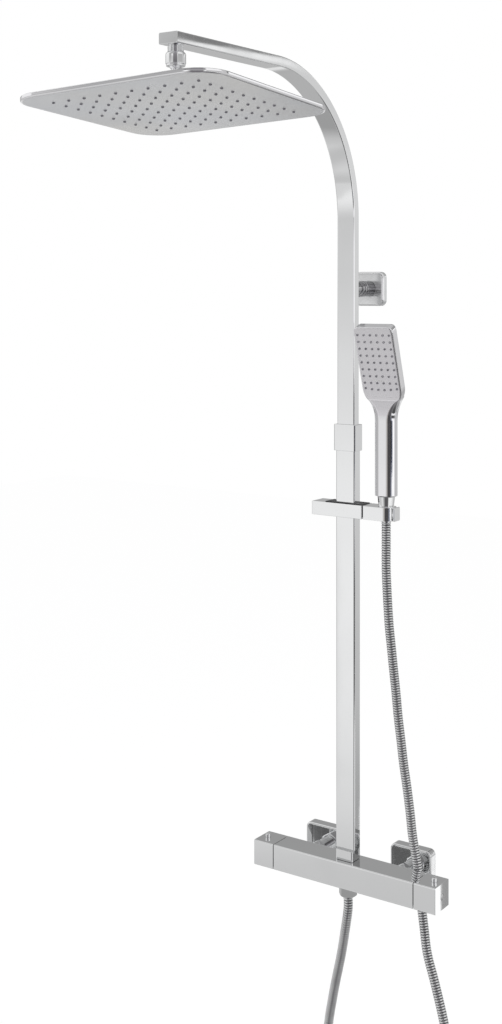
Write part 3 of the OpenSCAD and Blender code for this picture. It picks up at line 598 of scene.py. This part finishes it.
# inlets: nuts, screwed unions and square covers
inlets = {
    "at": (75, -75),
    "nut": {"flat": 15, "low": -49, "high": -31, "bores": [(9.3, -49), (13.32, -46)]},
    "union": [(8, -41.5), *ridges(13.22, -41.5, -29.5), (13.22, -28.9), (13.22, -6), (10, -5.6),
              *ridges(10.48, -5.2, 13.6), (8.6, 14), (8, 14)],
    "cover": [
        (68, 68, 8, 0), (68, 68, 8, 13.6), (67.7, 67.7, 7.9, 14.5), (66.8, 66.8, 7.5, 15.3),
        (65.2, 65.2, 7, 15.8), (63, 63, 6.2, 16), (26.9, 26.9, 13.4, 16), (26.9, 26.9, 13.4, 14.5),
        (62.5, 62.5, 6, 14.5), (65, 65, 6.5, 13), (65, 65, 6.5, 0)],
}
nuts, unions, covers = bmesh.new(), bmesh.new(), bmesh.new()
for x in inlets["at"]:
    addPart(nuts, hexNut(**inlets["nut"]), toWall(x))
    addPart(unions, turned(inlets["union"], 40), toWall(x))
    addPart(covers, loft(inlets["cover"], closed=True, steps=7), toFront(x))
makePiece("inletNuts", nuts, "valve")
makePiece("wallUnions", unions, "valve")
makePiece("coverPlates", covers, "valve")

# outlet below the valve, with the hose's hexagonal nut and crimped end
outlet = {
    "stub": [
        (5, -30), *ridges(10.48, -30, -20), (10.48, -19), (9.9, -18.9), (9.9, -11.1), (5, -11.1)],
    "nut": {"flat": 12, "low": -35.5, "high": -19.6, "bores": [(7.35, -35.5), (10.6, -32.5)]},
    "turn": 15,
    "ferrule": [
        (5, -38.3), (6.9, -38.5), (7.25, -38.1), (7.25, -36.6), (7, -36.4), (7, -36.1),
        (7.25, -35.9), (7.25, -32.2), (10, -32.2), (10, -30.2), (5, -30.2)],
}
makePiece("hoseOutlet", placed(turned(outlet["stub"]), onAxis()), "valve")
nut = placed(hexNut(**outlet["nut"]), onAxis() @ turn(outlet["turn"], "Z"))
makePiece("hoseNutLow", nut, "valve", nodes=["hose_nut_bottom"])
ferrule = placed(turned(outlet["ferrule"]), onAxis())
makePiece("hoseFerruleLow", ferrule, "valve", nodes=["hose_ferrule_bottom"])
print("inlets and outlet built")

# riser: plugged foot, lower tube, collar and the bent upper tube
riser = {
    "foot": [
        (27.9, 23.9, 2, 19.4), (28.5, 24.5, 2.2, 19.8), (28.5, 24.5, 2.2, 34.6), (27.9, 23.9, 2, 35)],
    "footNeck": [(0, 11.1), (9.9, 11.1), (9.9, 20), (0, 20)],
    "footPlug": [(29.9, 14.9, 0.9, 34.8), (29.9, 14.9, 0.9, 49)],
    "tube": [
        (31.9, 16.9, 2, 37), (32.5, 17.5, 2.2, 37.3), (32.5, 17.5, 2.2, 649.7),
        (31.9, 16.9, 2, 650), (30.1, 15.1, 1, 650), (30.1, 15.1, 1, 37)],
    "collar": [
        (36.2, 22.2, 2.3, 628), (37, 23, 2.5, 628.4), (37, 23, 2.5, 666.6), (36.2, 22.2, 2.3, 667),
        (30.6, 15.6, 2, 667), (30.6, 15.6, 2, 664), (32.8, 17.8, 2.2, 664), (32.8, 17.8, 2.2, 628)],
    "upper": (29.6, 14.6, 1.8), "edge": 0.4,
    "bend": 207, "bendY": -278, "bendZ": 973.7, "low": 470, "end": -502, "steps": 56,
    "cap": [
        (29.6, 14.6, 1.8, 502.1), (29.6, 14.6, 1.8, 504.4), (28.9, 13.9, 1.5, 504.9),
        (28.3, 13.3, 1.3, 505)],
}
foot = placed(loft(riser["foot"], steps=4), onAxis())
addPart(foot, turned(riser["footNeck"]), onAxis())
addPart(foot, loft(riser["footPlug"], steps=4), onAxis())
makePiece("riserConnector", foot, "valve")
makePiece("lowerRiser", placed(loft(riser["tube"], closed=True, steps=4), onAxis()), "valve")
makePiece("riserCollar", placed(loft(riser["collar"], closed=True, steps=4), onAxis()), "valve")


def upperTube(setup, armTop):
    edge, steps = setup["edge"], setup["steps"]
    places = [onAxis(0, setup["low"]), onAxis(0, setup["low"] + edge)]
    for i in range(steps + 1):
        angle = math.radians(90 * i / steps)
        y = setup["bendY"] + setup["bend"] * math.cos(angle)
        z = setup["bendZ"] + setup["bend"] * math.sin(angle)
        places.append(shifted(0, y, z) @ Matrix.Rotation(angle, 4, "X"))
    places.append(shifted(0, setup["end"], armTop) @ turn(90, "X"))
    wide, deep, corner = setup["upper"]
    rings = [(wide - 2 * edge, deep - 2 * edge, corner - edge)] + [setup["upper"]] * (len(places) - 1)
    return loft(rings, places=places)


armTop = riser["bendZ"] + riser["bend"]
makePiece("upperColumn", placed(upperTube(riser, armTop)), "upper")
makePiece("armEndCap", placed(loft(riser["cap"]), shifted(0, 0, armTop) @ turn(90, "X")), "upper")
print("riser built")

# ball joint under the arm
joint = {
    "y": -489, "ball": 1151, "tilt": (2.8, -3.4, -3), "radius": 9.8, "open": 34.1, "steps": 16,
    "nipple": [
        (6, 1160.3), *ridges(10.48, 1160.3, 1176, 1.5, 0.8), (10.3, 1176.2), (10.3, 1184), (6, 1184)],
    "nut": [
        (9.1, 1146.6), (11.3, 1146.5), (11.9, 1146.9), (12.15, 1147.6), (12.15, 1148.6),
        (11.9, 1149), (12.5, 1149.5), (12.9, 1150.6), (12.9, 1161), (12.75, 1162.2),
        (12.2, 1163.4), (11.3, 1164.2), (10.9, 1164.4), (10.6, 1164.2), (10.6, 1160.3),
        (10.1, 1160.2), (10.1, 1151), (9.95, 1149.3), (9.6, 1147.8)],
    "stem": [
        (5.5, -8.1), (5.5, -22), (6.2, -23.4), (9.6, -24.2), (10.4, -25), (10.4, -48), (3.5, -48),
        (3.5, 5.5)],
}
makePiece("armNipple", placed(turned(joint["nipple"]), shifted(0, joint["y"])), "upper")
makePiece("swivelNut", placed(turned(joint["nut"], 64), shifted(0, joint["y"])), "upper")
spin, nod, lean = joint["tilt"]
onHead = shifted(0, joint["y"], joint["ball"]) @ turn(lean, "Y") @ turn(nod, "X") @ turn(spin, "Z")
arc = [math.radians(joint["open"] - 90 * i / joint["steps"]) for i in range(joint["steps"] + 1)]
ball = [(joint["radius"] * math.cos(a), joint["radius"] * math.sin(a)) for a in arc] + joint["stem"]
makePiece("swivelBall", placed(turned(ball), onHead), "ball")

# rain head
head = {
    "face": -56, "cells": 10, "pitch": 23.8, "hole": 2.3, "sunk": 0.9,
    "lip": 291, "lipCorner": 39.6, "thick": 2.5,
    "rim": [
        (291, 291, 39.6, -55.9), (291.6, 291.6, 39.9, -56), (294.2, 294.2, 41.1, -55.8),
        (295.4, 295.4, 41.7, -55.2), (296, 296, 42, -54.2), (296, 296, 42, -51.4),
        (295.4, 295.4, 41.7, -50.5), (294, 294, 41, -50.05), (291, 291, 39.6, -50),
        (232, 232, 15, -50), (232, 232, 15, -51.5)],
    "shell": [
        (230.2, 230.2, 14, -50), (230.2, 230.2, 14, -43.6), (229.6, 229.6, 13.8, -42.8),
        (228, 228, 13.2, -42.2), (225.6, 225.6, 12.4, -42), (60, 60, 22, -42),
        (42, 42, 20.9, -41.9), (36, 36, 17.9, -41.6)],
    "boss": [
        (10.6, -42.4), (17.6, -41.7), (15.6, -40.9), (14.7, -39.4), (14.48, -37.5), (14.48, -25.2),
        (14.1, -24.5), (13.4, -24.05), (10.6, -24.05)],
    "nozzle": (2.15, 1.6, 4), "nozzleIn": 1.2,
}


# flat sheet with a sunk round hole in each cell
def facePanel(setup):
    bm = bmesh.new()
    cells, pitch, hole = setup["cells"], setup["pitch"], setup["hole"]
    bmesh.ops.create_grid(bm, x_segments=cells, y_segments=cells, size=cells * pitch / 2)
    bmesh.ops.translate(bm, vec=(0, 0, setup["face"]), verts=bm.verts[:])
    centre = bm.faces[:]
    rim = [e for e in bm.edges if e.is_boundary]
    bmesh.ops.bridge_loops(bm, edges=rim + outline(
        bm, setup["lip"], setup["lip"], setup["lipCorner"], setup["face"], steps=cells - 1))
    bmesh.ops.inset_individual(bm, faces=centre, thickness=pitch / 2 - hole, use_even_offset=True)
    bmesh.ops.bisect_edges(bm, edges=list({e for f in centre for e in f.edges}), cuts=3)
    for f in centre:
        middle = f.calc_center_median()
        for vert in f.verts:
            angle = evenAngle(vert.co.x - middle.x, vert.co.y - middle.y)
            vert.co.x = middle.x + hole * math.cos(angle)
            vert.co.y = middle.y + hole * math.sin(angle)
    for f in bmesh.ops.extrude_discrete_faces(bm, faces=centre)["faces"]:
        bmesh.ops.translate(bm, vec=(0, 0, setup["sunk"]), verts=f.verts[:])
    back = bmesh.ops.extrude_edge_only(bm, edges=[e for e in bm.edges if e.is_boundary])["geom"]
    verts = [v for v in back if isinstance(v, bmesh.types.BMVert)]
    bmesh.ops.translate(bm, vec=(0, 0, setup["thick"]), verts=verts)
    bmesh.ops.contextual_create(bm, geom=[e for e in bm.edges if e.is_boundary])
    return bm


# soft nozzle: tapered stub with a pinhole, pointing down
def nozzle(base, tip, height, sides=12, rim=0.45, pinhole=0.25):
    bm = bmesh.new()
    bmesh.ops.create_cone(
        bm, cap_ends=True, cap_tris=False, segments=sides, radius1=tip, radius2=base, depth=height)
    end = min(bm.faces, key=lambda f: f.calc_center_median().z)
    bmesh.ops.inset_region(bm, faces=[end], thickness=tip * rim)
    bmesh.ops.translate(bm, vec=(0, 0, height * pinhole), verts=end.verts[:])
    return bm


# copies a part to many places without rebuilding it
def repeated(part, places):
    bmesh.ops.recalc_face_normals(part, faces=part.faces[:])
    mesh = bpy.data.meshes.new("repeated")
    part.to_mesh(mesh)
    part.free()
    bm = bmesh.new()
    for place in places:
        count = len(bm.verts)
        bm.from_mesh(mesh)
        bm.verts.ensure_lookup_table()
        bmesh.ops.transform(bm, matrix=place, verts=bm.verts[count:])
    bpy.data.meshes.remove(mesh)
    return bm


makePiece(
    "headFace", placed(facePanel(head), onHead), "rain_head", "satin_plastic", ["head_face_plate"],
    finish="headSatin")
rim = placed(loft(head["rim"], closed=True, steps=10), onHead)
makePiece("headRim", rim, "rain_head", "plated_plastic", ["head_face_plate"])
shell = placed(loft(head["shell"], steps=8), onHead)
addPart(shell, turned(head["boss"], 56), onHead)
makePiece("headBackShell", shell, "rain_head", "plated_plastic")
pitch, count, tall = head["pitch"], head["cells"], head["nozzle"][2]
half = (count - 1) / 2 * pitch
spots = [
    onHead @ shifted(i * pitch - half, k * pitch - half, head["face"] - head["nozzleIn"] + tall / 2)
    for i in range(count) for k in range(count)]
makePiece(
    "headNozzles", repeated(nozzle(*head["nozzle"]), spots), "rain_head", "nozzle_rubber",
    ["head_nozzle_mat"])
print("rain head built")

# wall bracket behind the upper tube
bracket = {
    "z": 868.7,
    "boss": [(0, 63.7), (8.5, 63.7), (8.5, 61.9), (7, 61.6), (7, 47.7), (0, 47.7)],
    "stem": [
        (7.15, 61.4), (8.9, 61.5), (9.3, 61.1), (9.3, 44.2), (9.5, 43.9), (10.6, 43.7), (11, 43.3),
        (11, 39.1), (11.8, 38.7), (12.2, 38.2), (12.2, 35.2), (11.8, 34.8), (11, 34.5), (11, 32.1),
        (11.8, 31.8), (12.2, 31.2), (12.2, 5), (2.6, 5), (2.6, 46), (7.15, 46)],
    "cover": [
        (52, 52, 9, 0), (52, 52, 9, 6), (51.7, 51.7, 8.9, 7.6), (50.9, 50.9, 8.6, 9),
        (49.4, 49.4, 8.2, 10.1), (47.2, 47.2, 7.6, 10.75), (44.4, 44.4, 7, 11),
        (24.8, 24.8, 12.3, 11), (24.8, 24.8, 12.3, 9.5), (44, 44, 7, 9.5), (48.6, 48.6, 7.6, 7),
        (49, 49, 7.6, 0)],
}
onBracket = toFront(z=bracket["z"])
makePiece("riserBoss", placed(turned(bracket["boss"], 40), onBracket), "upper")
stem = placed(turned(bracket["stem"], 56), onBracket)
# the stem takes the chrome darkened as painted shade
makePiece("bracketStem", stem, "upper", finish="shadedChrome")
cover = placed(loft(bracket["cover"], closed=True, steps=8), onBracket)
makePiece("bracketCover", cover, "upper", finish="softPlating")
print("bracket built")

# slider, its guide and the tilting cradle
slider = {
    "frame": [
        (85.9, 31.3, 0.8, 530, (-10.7, 0)), (86.6, 32, 1, 530.35, (-10.7, 0)),
        (86.6, 32, 1, 549.65, (-10.7, 0)), (85.9, 31.3, 0.8, 550, (-10.7, 0)),
        (58, 24, 0.6, 550, (-2, 0)), (58, 24, 0.6, 530, (-2, 0))],
    "bush": [
        (57.8, 23.8, 0.6, 530.4, (-2, 0)), (57.8, 23.8, 0.6, 550.1, (-2, 0)),
        (62.4, 25.8, 0.8, 550.1, (-0.8, 0)), (62.4, 25.8, 0.8, 550.9, (-0.8, 0)),
        (61.6, 25, 0.6, 551.2, (-0.8, 0)), (33, 18, 2.4, 551.2), (33, 18, 2.4, 530.4)],
    "cradle": {
        "x": 65, "left": 34.2, "half": 15, "slot": 7.5, "low": 530, "high": 550, "holes": (9.4, 11.7),
        "edge": 0.35},
    "neck": [(0, 77), (7, 77), (7, 79.6), (6.6, 80.1), (0, 80.1)],
    "z": 540,
    "knob": [
        (13, 14, 1, 80.5), (13, 14, 1, 80.8), (17.4, 19.4, 1.4, 81.5), (18, 20, 1.6, 81.8),
        (18, 20, 1.6, 82.6), (17.2, 19.2, 1.3, 83)],
}
frameRing = placed(loft(slider["frame"], closed=True, steps=3), onAxis())
makePiece("sliderBody", frameRing, "slider")
guide = placed(loft(slider["bush"], closed=True, steps=3), onAxis())
makePiece("sliderBush", guide, "slider", "black_plastic")


# forked block, open to the wall, with a conical seat for the hose nut
def cradleBlock(setup, outer=18, inner=28):
    bm = bmesh.new()
    x, half, slot = setup["x"], setup["half"], setup["slot"]
    end = math.asin(math.sqrt(half * half - slot * slot) / half)
    rows = []
    for z, r in zip((setup["low"], setup["high"]), setup["holes"]):
        mouth = math.asin(slot / r)
        points = [(setup["left"], half), (setup["left"], -half)]
        points += [(x + half * math.cos(a), half * math.sin(a)) for a in (
            -math.pi / 2 + (end + math.pi / 2) * i / outer for i in range(outer + 1))]
        points += [(x + r * math.sin(a), r * math.cos(a)) for a in (
            mouth + (math.tau - 2 * mouth) * i / inner for i in range(inner + 1))]
        points += [(x - slot, half)]
        rows.append([bm.verts.new((px, py, z)) for px, py in points])
    edges = [[bm.edges.new((row[i - 1], row[i])) for i in range(len(row))] for row in rows]
    bmesh.ops.bridge_loops(bm, edges=edges[0] + edges[1])
    for loop in edges:
        bmesh.ops.contextual_create(bm, geom=loop)
    return soften(bm, setup["edge"], 2, 50)


cradle = placed(cradleBlock(slider["cradle"]), onAxis())
addPart(cradle, turned(slider["neck"], 40), toRight(z=slider["z"]))
makePiece("cradle", cradle, "holder")
knob = placed(loft(slider["knob"], steps=3), toRight(z=slider["z"]))
makePiece("cradleKnob", knob, "knob")
print("slider and cradle built")

# hand shower: one skin from the oval handle to the flat spray head
handset = {
    "x": 65, "turn": 5, "bend": 703.8, "lean": 20,
    "grip": [
        (31.8, 24.8, 11.5, 0, 565.8, 0, 0), (32.8, 25.8, 11.9, 0, 566.2, 0, 0),
        (33, 26, 12, 0, 567, 0, 0), (33, 26, 12, 0, 620, 0, 0)],
    "neck": [
        (33, 26, 12, 0, 672, 0, 0), (33.2, 26, 12, 0, 679, 0, 0),
        (34.6, 25.6, 11.6, 0, 686, 0.5, 0), (37.8, 24.7, 10.6, 0, 693, 2.5, -0.1),
        (42.6, 23.2, 9.2, -0.1, 699.5, 6, -0.3), (48.6, 21, 7, -0.6, 705.5, 11, -0.6),
        (54, 18.6, 4.6, -1.5, 709.3, 15.5, -0.8)],
    "slab": [
        (55.6, 17, 3.2, 8.4), (57.4, 17, 2.9, 10.6), (59.4, 17, 2.8, 14), (61.3, 17, 2.8, 19),
        (62, 17, 2.8, 25)],
    "crown": [
        (62, 17, 2.8, 68), (62, 17, 2.8, 111), (61, 17, 2.8, 114.2), (59.4, 17, 2.8, 116.4),
        (57.2, 17, 2.8, 118), (54.6, 16.4, 2.8, 119), (51.6, 14.8, 2.6, 119.7),
        (47, 12.6, 2.2, 120)],
    "recess": [(55.6, 105.8, 7.1, 9.5), (55.6, 105.8, 7.1, 8.2)],
    "middle": 64, "front": -9.5, "flatTo": 118.5, "satinFrom": 684, "satinTurn": 0.86,
    "panel": [
        (55.4, 105.6, 7, 7.9), (55.52, 105.72, 7.06, 9.47), (55.46, 105.66, 7.03, 9.5),
        (50.6, 100.8, 5.8, 9.5), (50.3, 100.5, 5.7, 9.44), (50, 100.2, 5.6, 9.44),
        (49.7, 99.9, 5.5, 9.5)],
    "accent": [(22, 0.9, 0.4, 9.4), (22, 0.9, 0.4, 9.72), (21.6, 0.5, 0.24, 9.8)],
    "accentHeight": 36.8, "nozzle": (2, 1.7, 3.2), "nozzleFront": -10.3,
    "columns": 6, "rows": 9, "pitch": (9.95, 10.7), "first": 108, "bow": 0.35,
}
onHandset = onAxis(handset["x"]) @ turn(handset["turn"], "Z")
onSpray = shifted(0, 0, handset["bend"]) @ turn(handset["lean"], "X")
toFace = toFront(z=handset["middle"])


# rows between the given ones, along a smooth curve
def eased(rows, count=3):
    last = len(rows) - 1
    made = []
    for i in range(last):
        a, b, c, d = rows[max(i - 1, 0)], rows[i], rows[i + 1], rows[min(i + 2, last)]
        for k in range(count):
            t = k / count
            made.append(tuple(
                q + 0.5 * t * (r - p + t * (2 * p - 5 * q + 4 * r - s + t * (3 * (q - r) + s - p)))
                for p, q, r, s in zip(a, b, c, d)))
    return made + [rows[-1]]


def handsetSkin(setup):
    lean = math.radians(setup["lean"])

    def onSlab(wide, deep, corner, height):
        return (wide, deep, corner, -height * math.sin(lean), setup["bend"] + height * math.cos(lean),
                setup["lean"], setup["front"] + deep / 2 if height < setup["flatTo"] else -1)

    rows = setup["grip"] + eased(setup["neck"] + [onSlab(*row) for row in setup["slab"]])
    rows += [onSlab(*row) for row in setup["crown"]]
    rings = [row[:3] + (0,) for row in rows]
    places = [
        shifted(0, y, z) @ turn(angle, "X") @ shifted(0, middle)
        for *_, y, z, angle, middle in rows]
    bm = loft(rings, steps=6, places=places)
    bmesh.ops.recalc_face_normals(bm, faces=bm.faces[:])
    bm.normal_update()
    out = onSpray.to_3x3() @ Vector((0, -1, 0))
    front = onSpray @ Vector((0, setup["front"], 0))
    square, near = 0.9999, 0.02
    flat = [
        f for f in bm.faces if f.normal.dot(out) > square and
        all(abs((v.co - front).dot(out)) < near for v in f.verts)]
    hole = [e for f in flat for e in f.edges]
    hole = [e for e in set(hole) if sum(f in flat for f in e.link_faces) == 1]
    bmesh.ops.delete(bm, geom=flat, context="FACES")
    loops = [hole]
    for ring in setup["recess"]:
        loops.append(outline(bm, *ring, steps=6, place=onSpray @ toFace))
    for first, second in zip(loops, loops[1:]):
        bmesh.ops.bridge_loops(bm, edges=first + second)
    bmesh.ops.contextual_create(bm, geom=loops[-1])
    return bm


def satin(face):
    high = face.calc_center_median().z > handset["satinFrom"]
    return high and face.normal.dot(sprayOut) > handset["satinTurn"]


onFace = onHandset @ onSpray
sprayOut = onFace.to_3x3() @ Vector((0, -1, 0))
makePiece(
    "handsetShell", placed(handsetSkin(handset), onHandset), "handset", "plated_plastic", smooth=40,
    second="faceSatin", painted=satin)
plate = placed(loft(handset["panel"], steps=6), onFace @ toFace)
makePiece("handsetFace", plate, "handset", "satin_plastic", finish="faceSatin")
accent = placed(
    loft(handset["accent"], steps=3),
    onFace @ shifted(0, 0, handset["accentHeight"] - handset["middle"]) @ toFace)
makePiece(
    "handsetAccent", accent, "handset", "plated_plastic", ["handset_face"], finish="white_plastic")
wideStep, tallStep = handset["pitch"]
front = handset["nozzleFront"] + handset["nozzle"][2] / 2
spots = []
for k in range(handset["rows"]):
    for i in range(handset["columns"]):
        off = i - (handset["columns"] - 1) / 2
        bow = handset["bow"] * off * off if k == handset["rows"] - 1 else 0
        height = handset["first"] - k * tallStep + bow
        spots.append(onFace @ shifted(off * wideStep, front, height) @ turn(-90, "X"))
nozzles = repeated(nozzle(*handset["nozzle"]), spots)
makePiece("handsetNozzles", nozzles, "handset", "nozzle_rubber")

# conical nut and the hose's upper end
cone = {
    "profile": [
        (7.35, 530.1), (8.7, 530), (9.05, 530.3), (9.15, 531), (12.75, 563.6), (12.85, 564.5),
        (12.4, 565), (10.6, 565), (10.6, 551), (7.35, 549)],
    "ferrule": [
        (5, 527.2), (6.9, 527), (7.25, 527.4), (7.25, 528.6), (7, 528.8), (7, 529.1),
        (7.25, 529.3), (7.25, 548), (10, 552.6), (10, 555.6), (5, 555.6)],
}
onHolder = onAxis(handset["x"])
makePiece("hoseNutTop", placed(turned(cone["profile"], 56), onHolder), "handset")
makePiece("hoseFerruleTop", placed(turned(cone["ferrule"]), onHolder), "hose_end")
print("hand shower built")

# studio
studio = {
    "floor": -0.72, "floorSize": 14, "floorTone": (0.62, 0.62, 0.63),
    "glow": 1.06, "whiteShare": 0.9,
    "lamps": [
        {"name": "keyLamp", "place": (-1.9, -2.4, 2.9), "size": 1.7, "power": 42},
        {"name": "fillLamp", "place": (2.4, -1, 2.5), "size": 1.6, "power": 22},
        {"name": "backLamp", "place": (-0.6, 1.9, 2.4), "size": 1.4, "power": 14},
    ],
    "aim": (0, -0.1, 0.55),
}


def lampAt(setup, aim):
    light = bpy.data.lights.new(setup["name"], "AREA")
    light.shape = "SQUARE"
    light.size = setup["size"]
    light.energy = setup["power"]
    lamp = addObject(setup["name"], light)
    lamp.location = setup["place"]
    lamp.rotation_euler = (Vector(aim) - Vector(setup["place"])).to_track_quat("-Z", "Y").to_euler()
    lamp.visible_camera = False
    lamp.visible_glossy = False


def makeFloor(setup):
    bm = bmesh.new()
    bmesh.ops.create_grid(bm, x_segments=1, y_segments=1, size=setup["floorSize"] / 2)
    bmesh.ops.translate(bm, vec=(0, 0, setup["floor"]), verts=bm.verts[:])
    mesh = bpy.data.meshes.new("floor")
    bm.to_mesh(mesh)
    bm.free()
    floor = addObject("floor", mesh)
    finish = newFinish("floorPaint", setup["floorTone"], 0, 0.9)
    rays = addNode(finish, "LightPath").outputs
    seen = worked(finish, "MAXIMUM", rays["Is Camera Ray"], rays["Is Transmission Ray"])
    glow = addNode(finish, "Emission", Strength=setup["glow"]).outputs[0]
    clear = addNode(finish, "BsdfTransparent").outputs[0]
    nodes = finish.node_tree.nodes
    share = worked(finish, "MULTIPLY", seen, setup["whiteShare"])  # the rest shows the shadow
    paint = addNode(finish, "MixShader", share, nodes["Principled BSDF"].outputs[0], glow).outputs[0]
    paint = addNode(finish, "MixShader", rays["Is Glossy Ray"], paint, clear).outputs[0]
    feed(finish, nodes["Material Output"].inputs["Surface"], paint)
    mesh.materials.append(finish)


# soft studio round the column: light panels left and right of the camera,
# a dark gap between them and a grey room behind
room = {
    "turn": 55.2,
    # (height, tone) of the room where no sector covers it
    "base": [
        (0, 0.55), (0.27, 0.3), (0.311, 0.34), (0.328, 0.4), (0.3405, 0.46), (0.359, 0.53),
        (0.4, 0.6), (0.432, 0.65), (0.4956, 0.69), (0.545, 0.74), (0.565, 0.67), (0.578, 0.67),
        (0.585, 0.95), (0.61, 1.05), (0.645, 1.05), (0.66, 0.18), (0.69, 0.18), (0.71, 0.42),
        (0.8, 0.3), (0.87, 0.68), (1, 0.7),
    ],
    # sectors: (turn, share) round the object, then (height, tone), and some with a tint
    "sectors": [
        ([(0.09, 0), (0.12, 1), (0.27, 1), (0.292, 0)], [
         (0, 0.37), (0.09, 0.37), (0.115, 0.57), (0.145, 0.67), (0.25, 0.73), (0.32, 0.7),
         (0.38, 0.5), (0.48, 0.51), (0.515, 0.95), (0.56, 0.85), (0.6, 0.95), (1, 0.9)]),
        ([(0.85, 0), (0.87, 1), (0.93, 1), (0.955, 0)], [
         (0, 0.5), (0.33, 0.5), (0.35, 1), (0.37, 0.52), (0.42, 0.42), (0.5, 0.52), (0.56, 0.5),
         (0.75, 0.3), (0.85, 0.3), (0.9, 0.6), (1, 0.6)]),
        ([(0, 1), (0.1, 1), (0.13, 0), (0.94, 0), (0.955, 1), (1, 1)], [
         (0, 0.48), (0.25, 0.47), (0.305, 0.45), (0.335, 0.6), (0.35, 0.8), (0.39, 0.8),
         (0.405, 0.5), (0.6, 0.42), (0.66, 0.34), (0.72, 0.34), (0.79, 0.5), (0.85, 0.55),
         (1, 0.6)]),
        ([(0.275, 0), (0.3, 1), (0.36, 1), (0.385, 0)], [
         (0, 0.72), (0.187, 0.7), (0.25, 0.71), (0.29, 0.6), (0.311, 0.61), (0.328, 0.77),
         (0.359, 0.89), (0.4, 0.93), (0.432, 0.88), (0.46, 0.8), (0.4956, 0.69), (0.5166, 0.65),
         (0.55, 0.6), (0.575, 0.45), (0.65, 0.46), (0.75, 0.35), (0.8, 0.38), (1, 0.6)]),
        ([(0.565, 0), (0.58, 1), (0.725, 1), (0.745, 0)], [
         (0, 0.25), (0.2, 0.1), (0.305, 0.07), (0.318, 1), (0.352, 0.95), (0.362, 0.06),
         (0.398, 0.07), (0.415, 1.1), (0.515, 1.1), (0.535, 0.52), (0.6, 0.46), (0.63, 0.75),
         (0.66, 1), (1, 0.7)]),
        ([(0.725, 0), (0.745, 1), (0.785, 1), (0.8, 0)], [
         (0, 0.4), (0.3, 0.45), (0.345, 0.85), (0.39, 0.48), (0.47, 0.52), (0.49, 0.95),
         (0.51, 0.95), (0.53, 0.6), (0.7, 0.6), (1, 0.6)]),
        ([(0.405, 0), (0.44, 1), (0.545, 1), (0.565, 0)], [
         (0, 0.3), (0.26, 0.12), (0.36, 0.09), (0.42, 0.07), (0.462, 0.07), (0.475, 0.85),
         (0.515, 0.85), (0.53, 0.14), (0.6, 0.26), (0.69, 0.42), (0.74, 0.16), (0.79, 0.05),
         (0.84, 0.3), (1, 0.6)], (1, 0.975, 1.02)),
    ],
    # cards: turn from and to, height from and to, tone, the edges' softness, and some with a tint
    "cards": [
        (0.54, 0.612, 0.4365, 0.466, 0.05, 0.01, 0.004),
        (0.408, 0.428, 0.405, 0.47, 0.42, 0.012, 0.01, (1, 0.94, 0.88)),
        (0.565, 0.588, 0.4, 0.436, 0.1, 0.01, 0.004, (0.6, 0.8, 1.5)),
        (0.61, 0.632, 0.4365, 0.466, 0.1, 0.01, 0.004, (0.6, 0.8, 1.5)),
        (0.953, 0.9935, 0.295, 0.343, 0.12, 0.003, 0.006),
        (0.925, 0.987, 0.775, 0.83, 0.1, 0.006, 0.008),
        (0.3, 0.3142, 0.33, 0.4, 0.73, 0.0008, 0.02),
        (0.79, 0.8125, 0.5855, 0.66, 0.22, 0.002, 0.004),
        (0.79, 0.8117, 0.577, 0.583, 0.92, 0.0006, 0.002),
        (0.8225, 0.82795, 0.27, 0.325, 1.15, 0.0001, 0.005),
    ],
}


# the world, by turn round the object (0 to 1) and height (0 below, 1 above)
def makeRoom(setup):
    world = bpy.data.worlds.new("studio")
    bpy.context.scene.world = world
    world.use_nodes = True
    world.node_tree.nodes.clear()
    place = addNode(world, "TexCoord").outputs["Generated"]
    height = spread(world, addNode(world, "SeparateXYZ", place).outputs["Z"], 0, 1, -1, 1)
    spun = addNode(world, "Mapping", Vector=place, Rotation=(0, 0, math.radians(setup["turn"])))
    around = addNode(world, "TexGradient", spun.outputs[0], gradient_type="RADIAL").outputs["Fac"]

    def tinted(level, tint=(1, 1, 1)):
        return tuple(level * part for part in tint)

    def greys(source, stops, *tint):
        return ramp(world, source, [(at, tinted(level, *tint)) for at, level in stops])

    def band(source, low, high, edge):
        rise = spread(world, source, 0, 1, low - edge, low)
        return worked(world, "MULTIPLY", rise, spread(world, source, 1, 0, high, high + edge))

    colour = greys(height, setup["base"])
    for turns, tones, *tint in setup["sectors"]:
        colour = blended(world, greys(around, turns), colour, greys(height, tones, *tint))
    for left, right, low, high, level, sideEdge, tallEdge, *tint in setup["cards"]:
        wide, tall = band(around, left, right, sideEdge), band(height, low, high, tallEdge)
        share = worked(world, "MULTIPLY", wide, tall)
        colour = blended(world, share, colour, tinted(level, *tint))
    rays = addNode(world, "LightPath").outputs
    seen = worked(world, "MAXIMUM", rays["Is Camera Ray"], rays["Is Transmission Ray"])
    sky = addNode(world, "Background", blended(world, seen, colour, (1, 1, 1)))
    addNode(world, "OutputWorld", sky.outputs[0])


for setup in studio["lamps"]:
    lampAt(setup, studio["aim"])
makeFloor(studio)
makeRoom(room)
bpy.context.scene.view_settings.view_transform = "Standard"
print("studio lit")
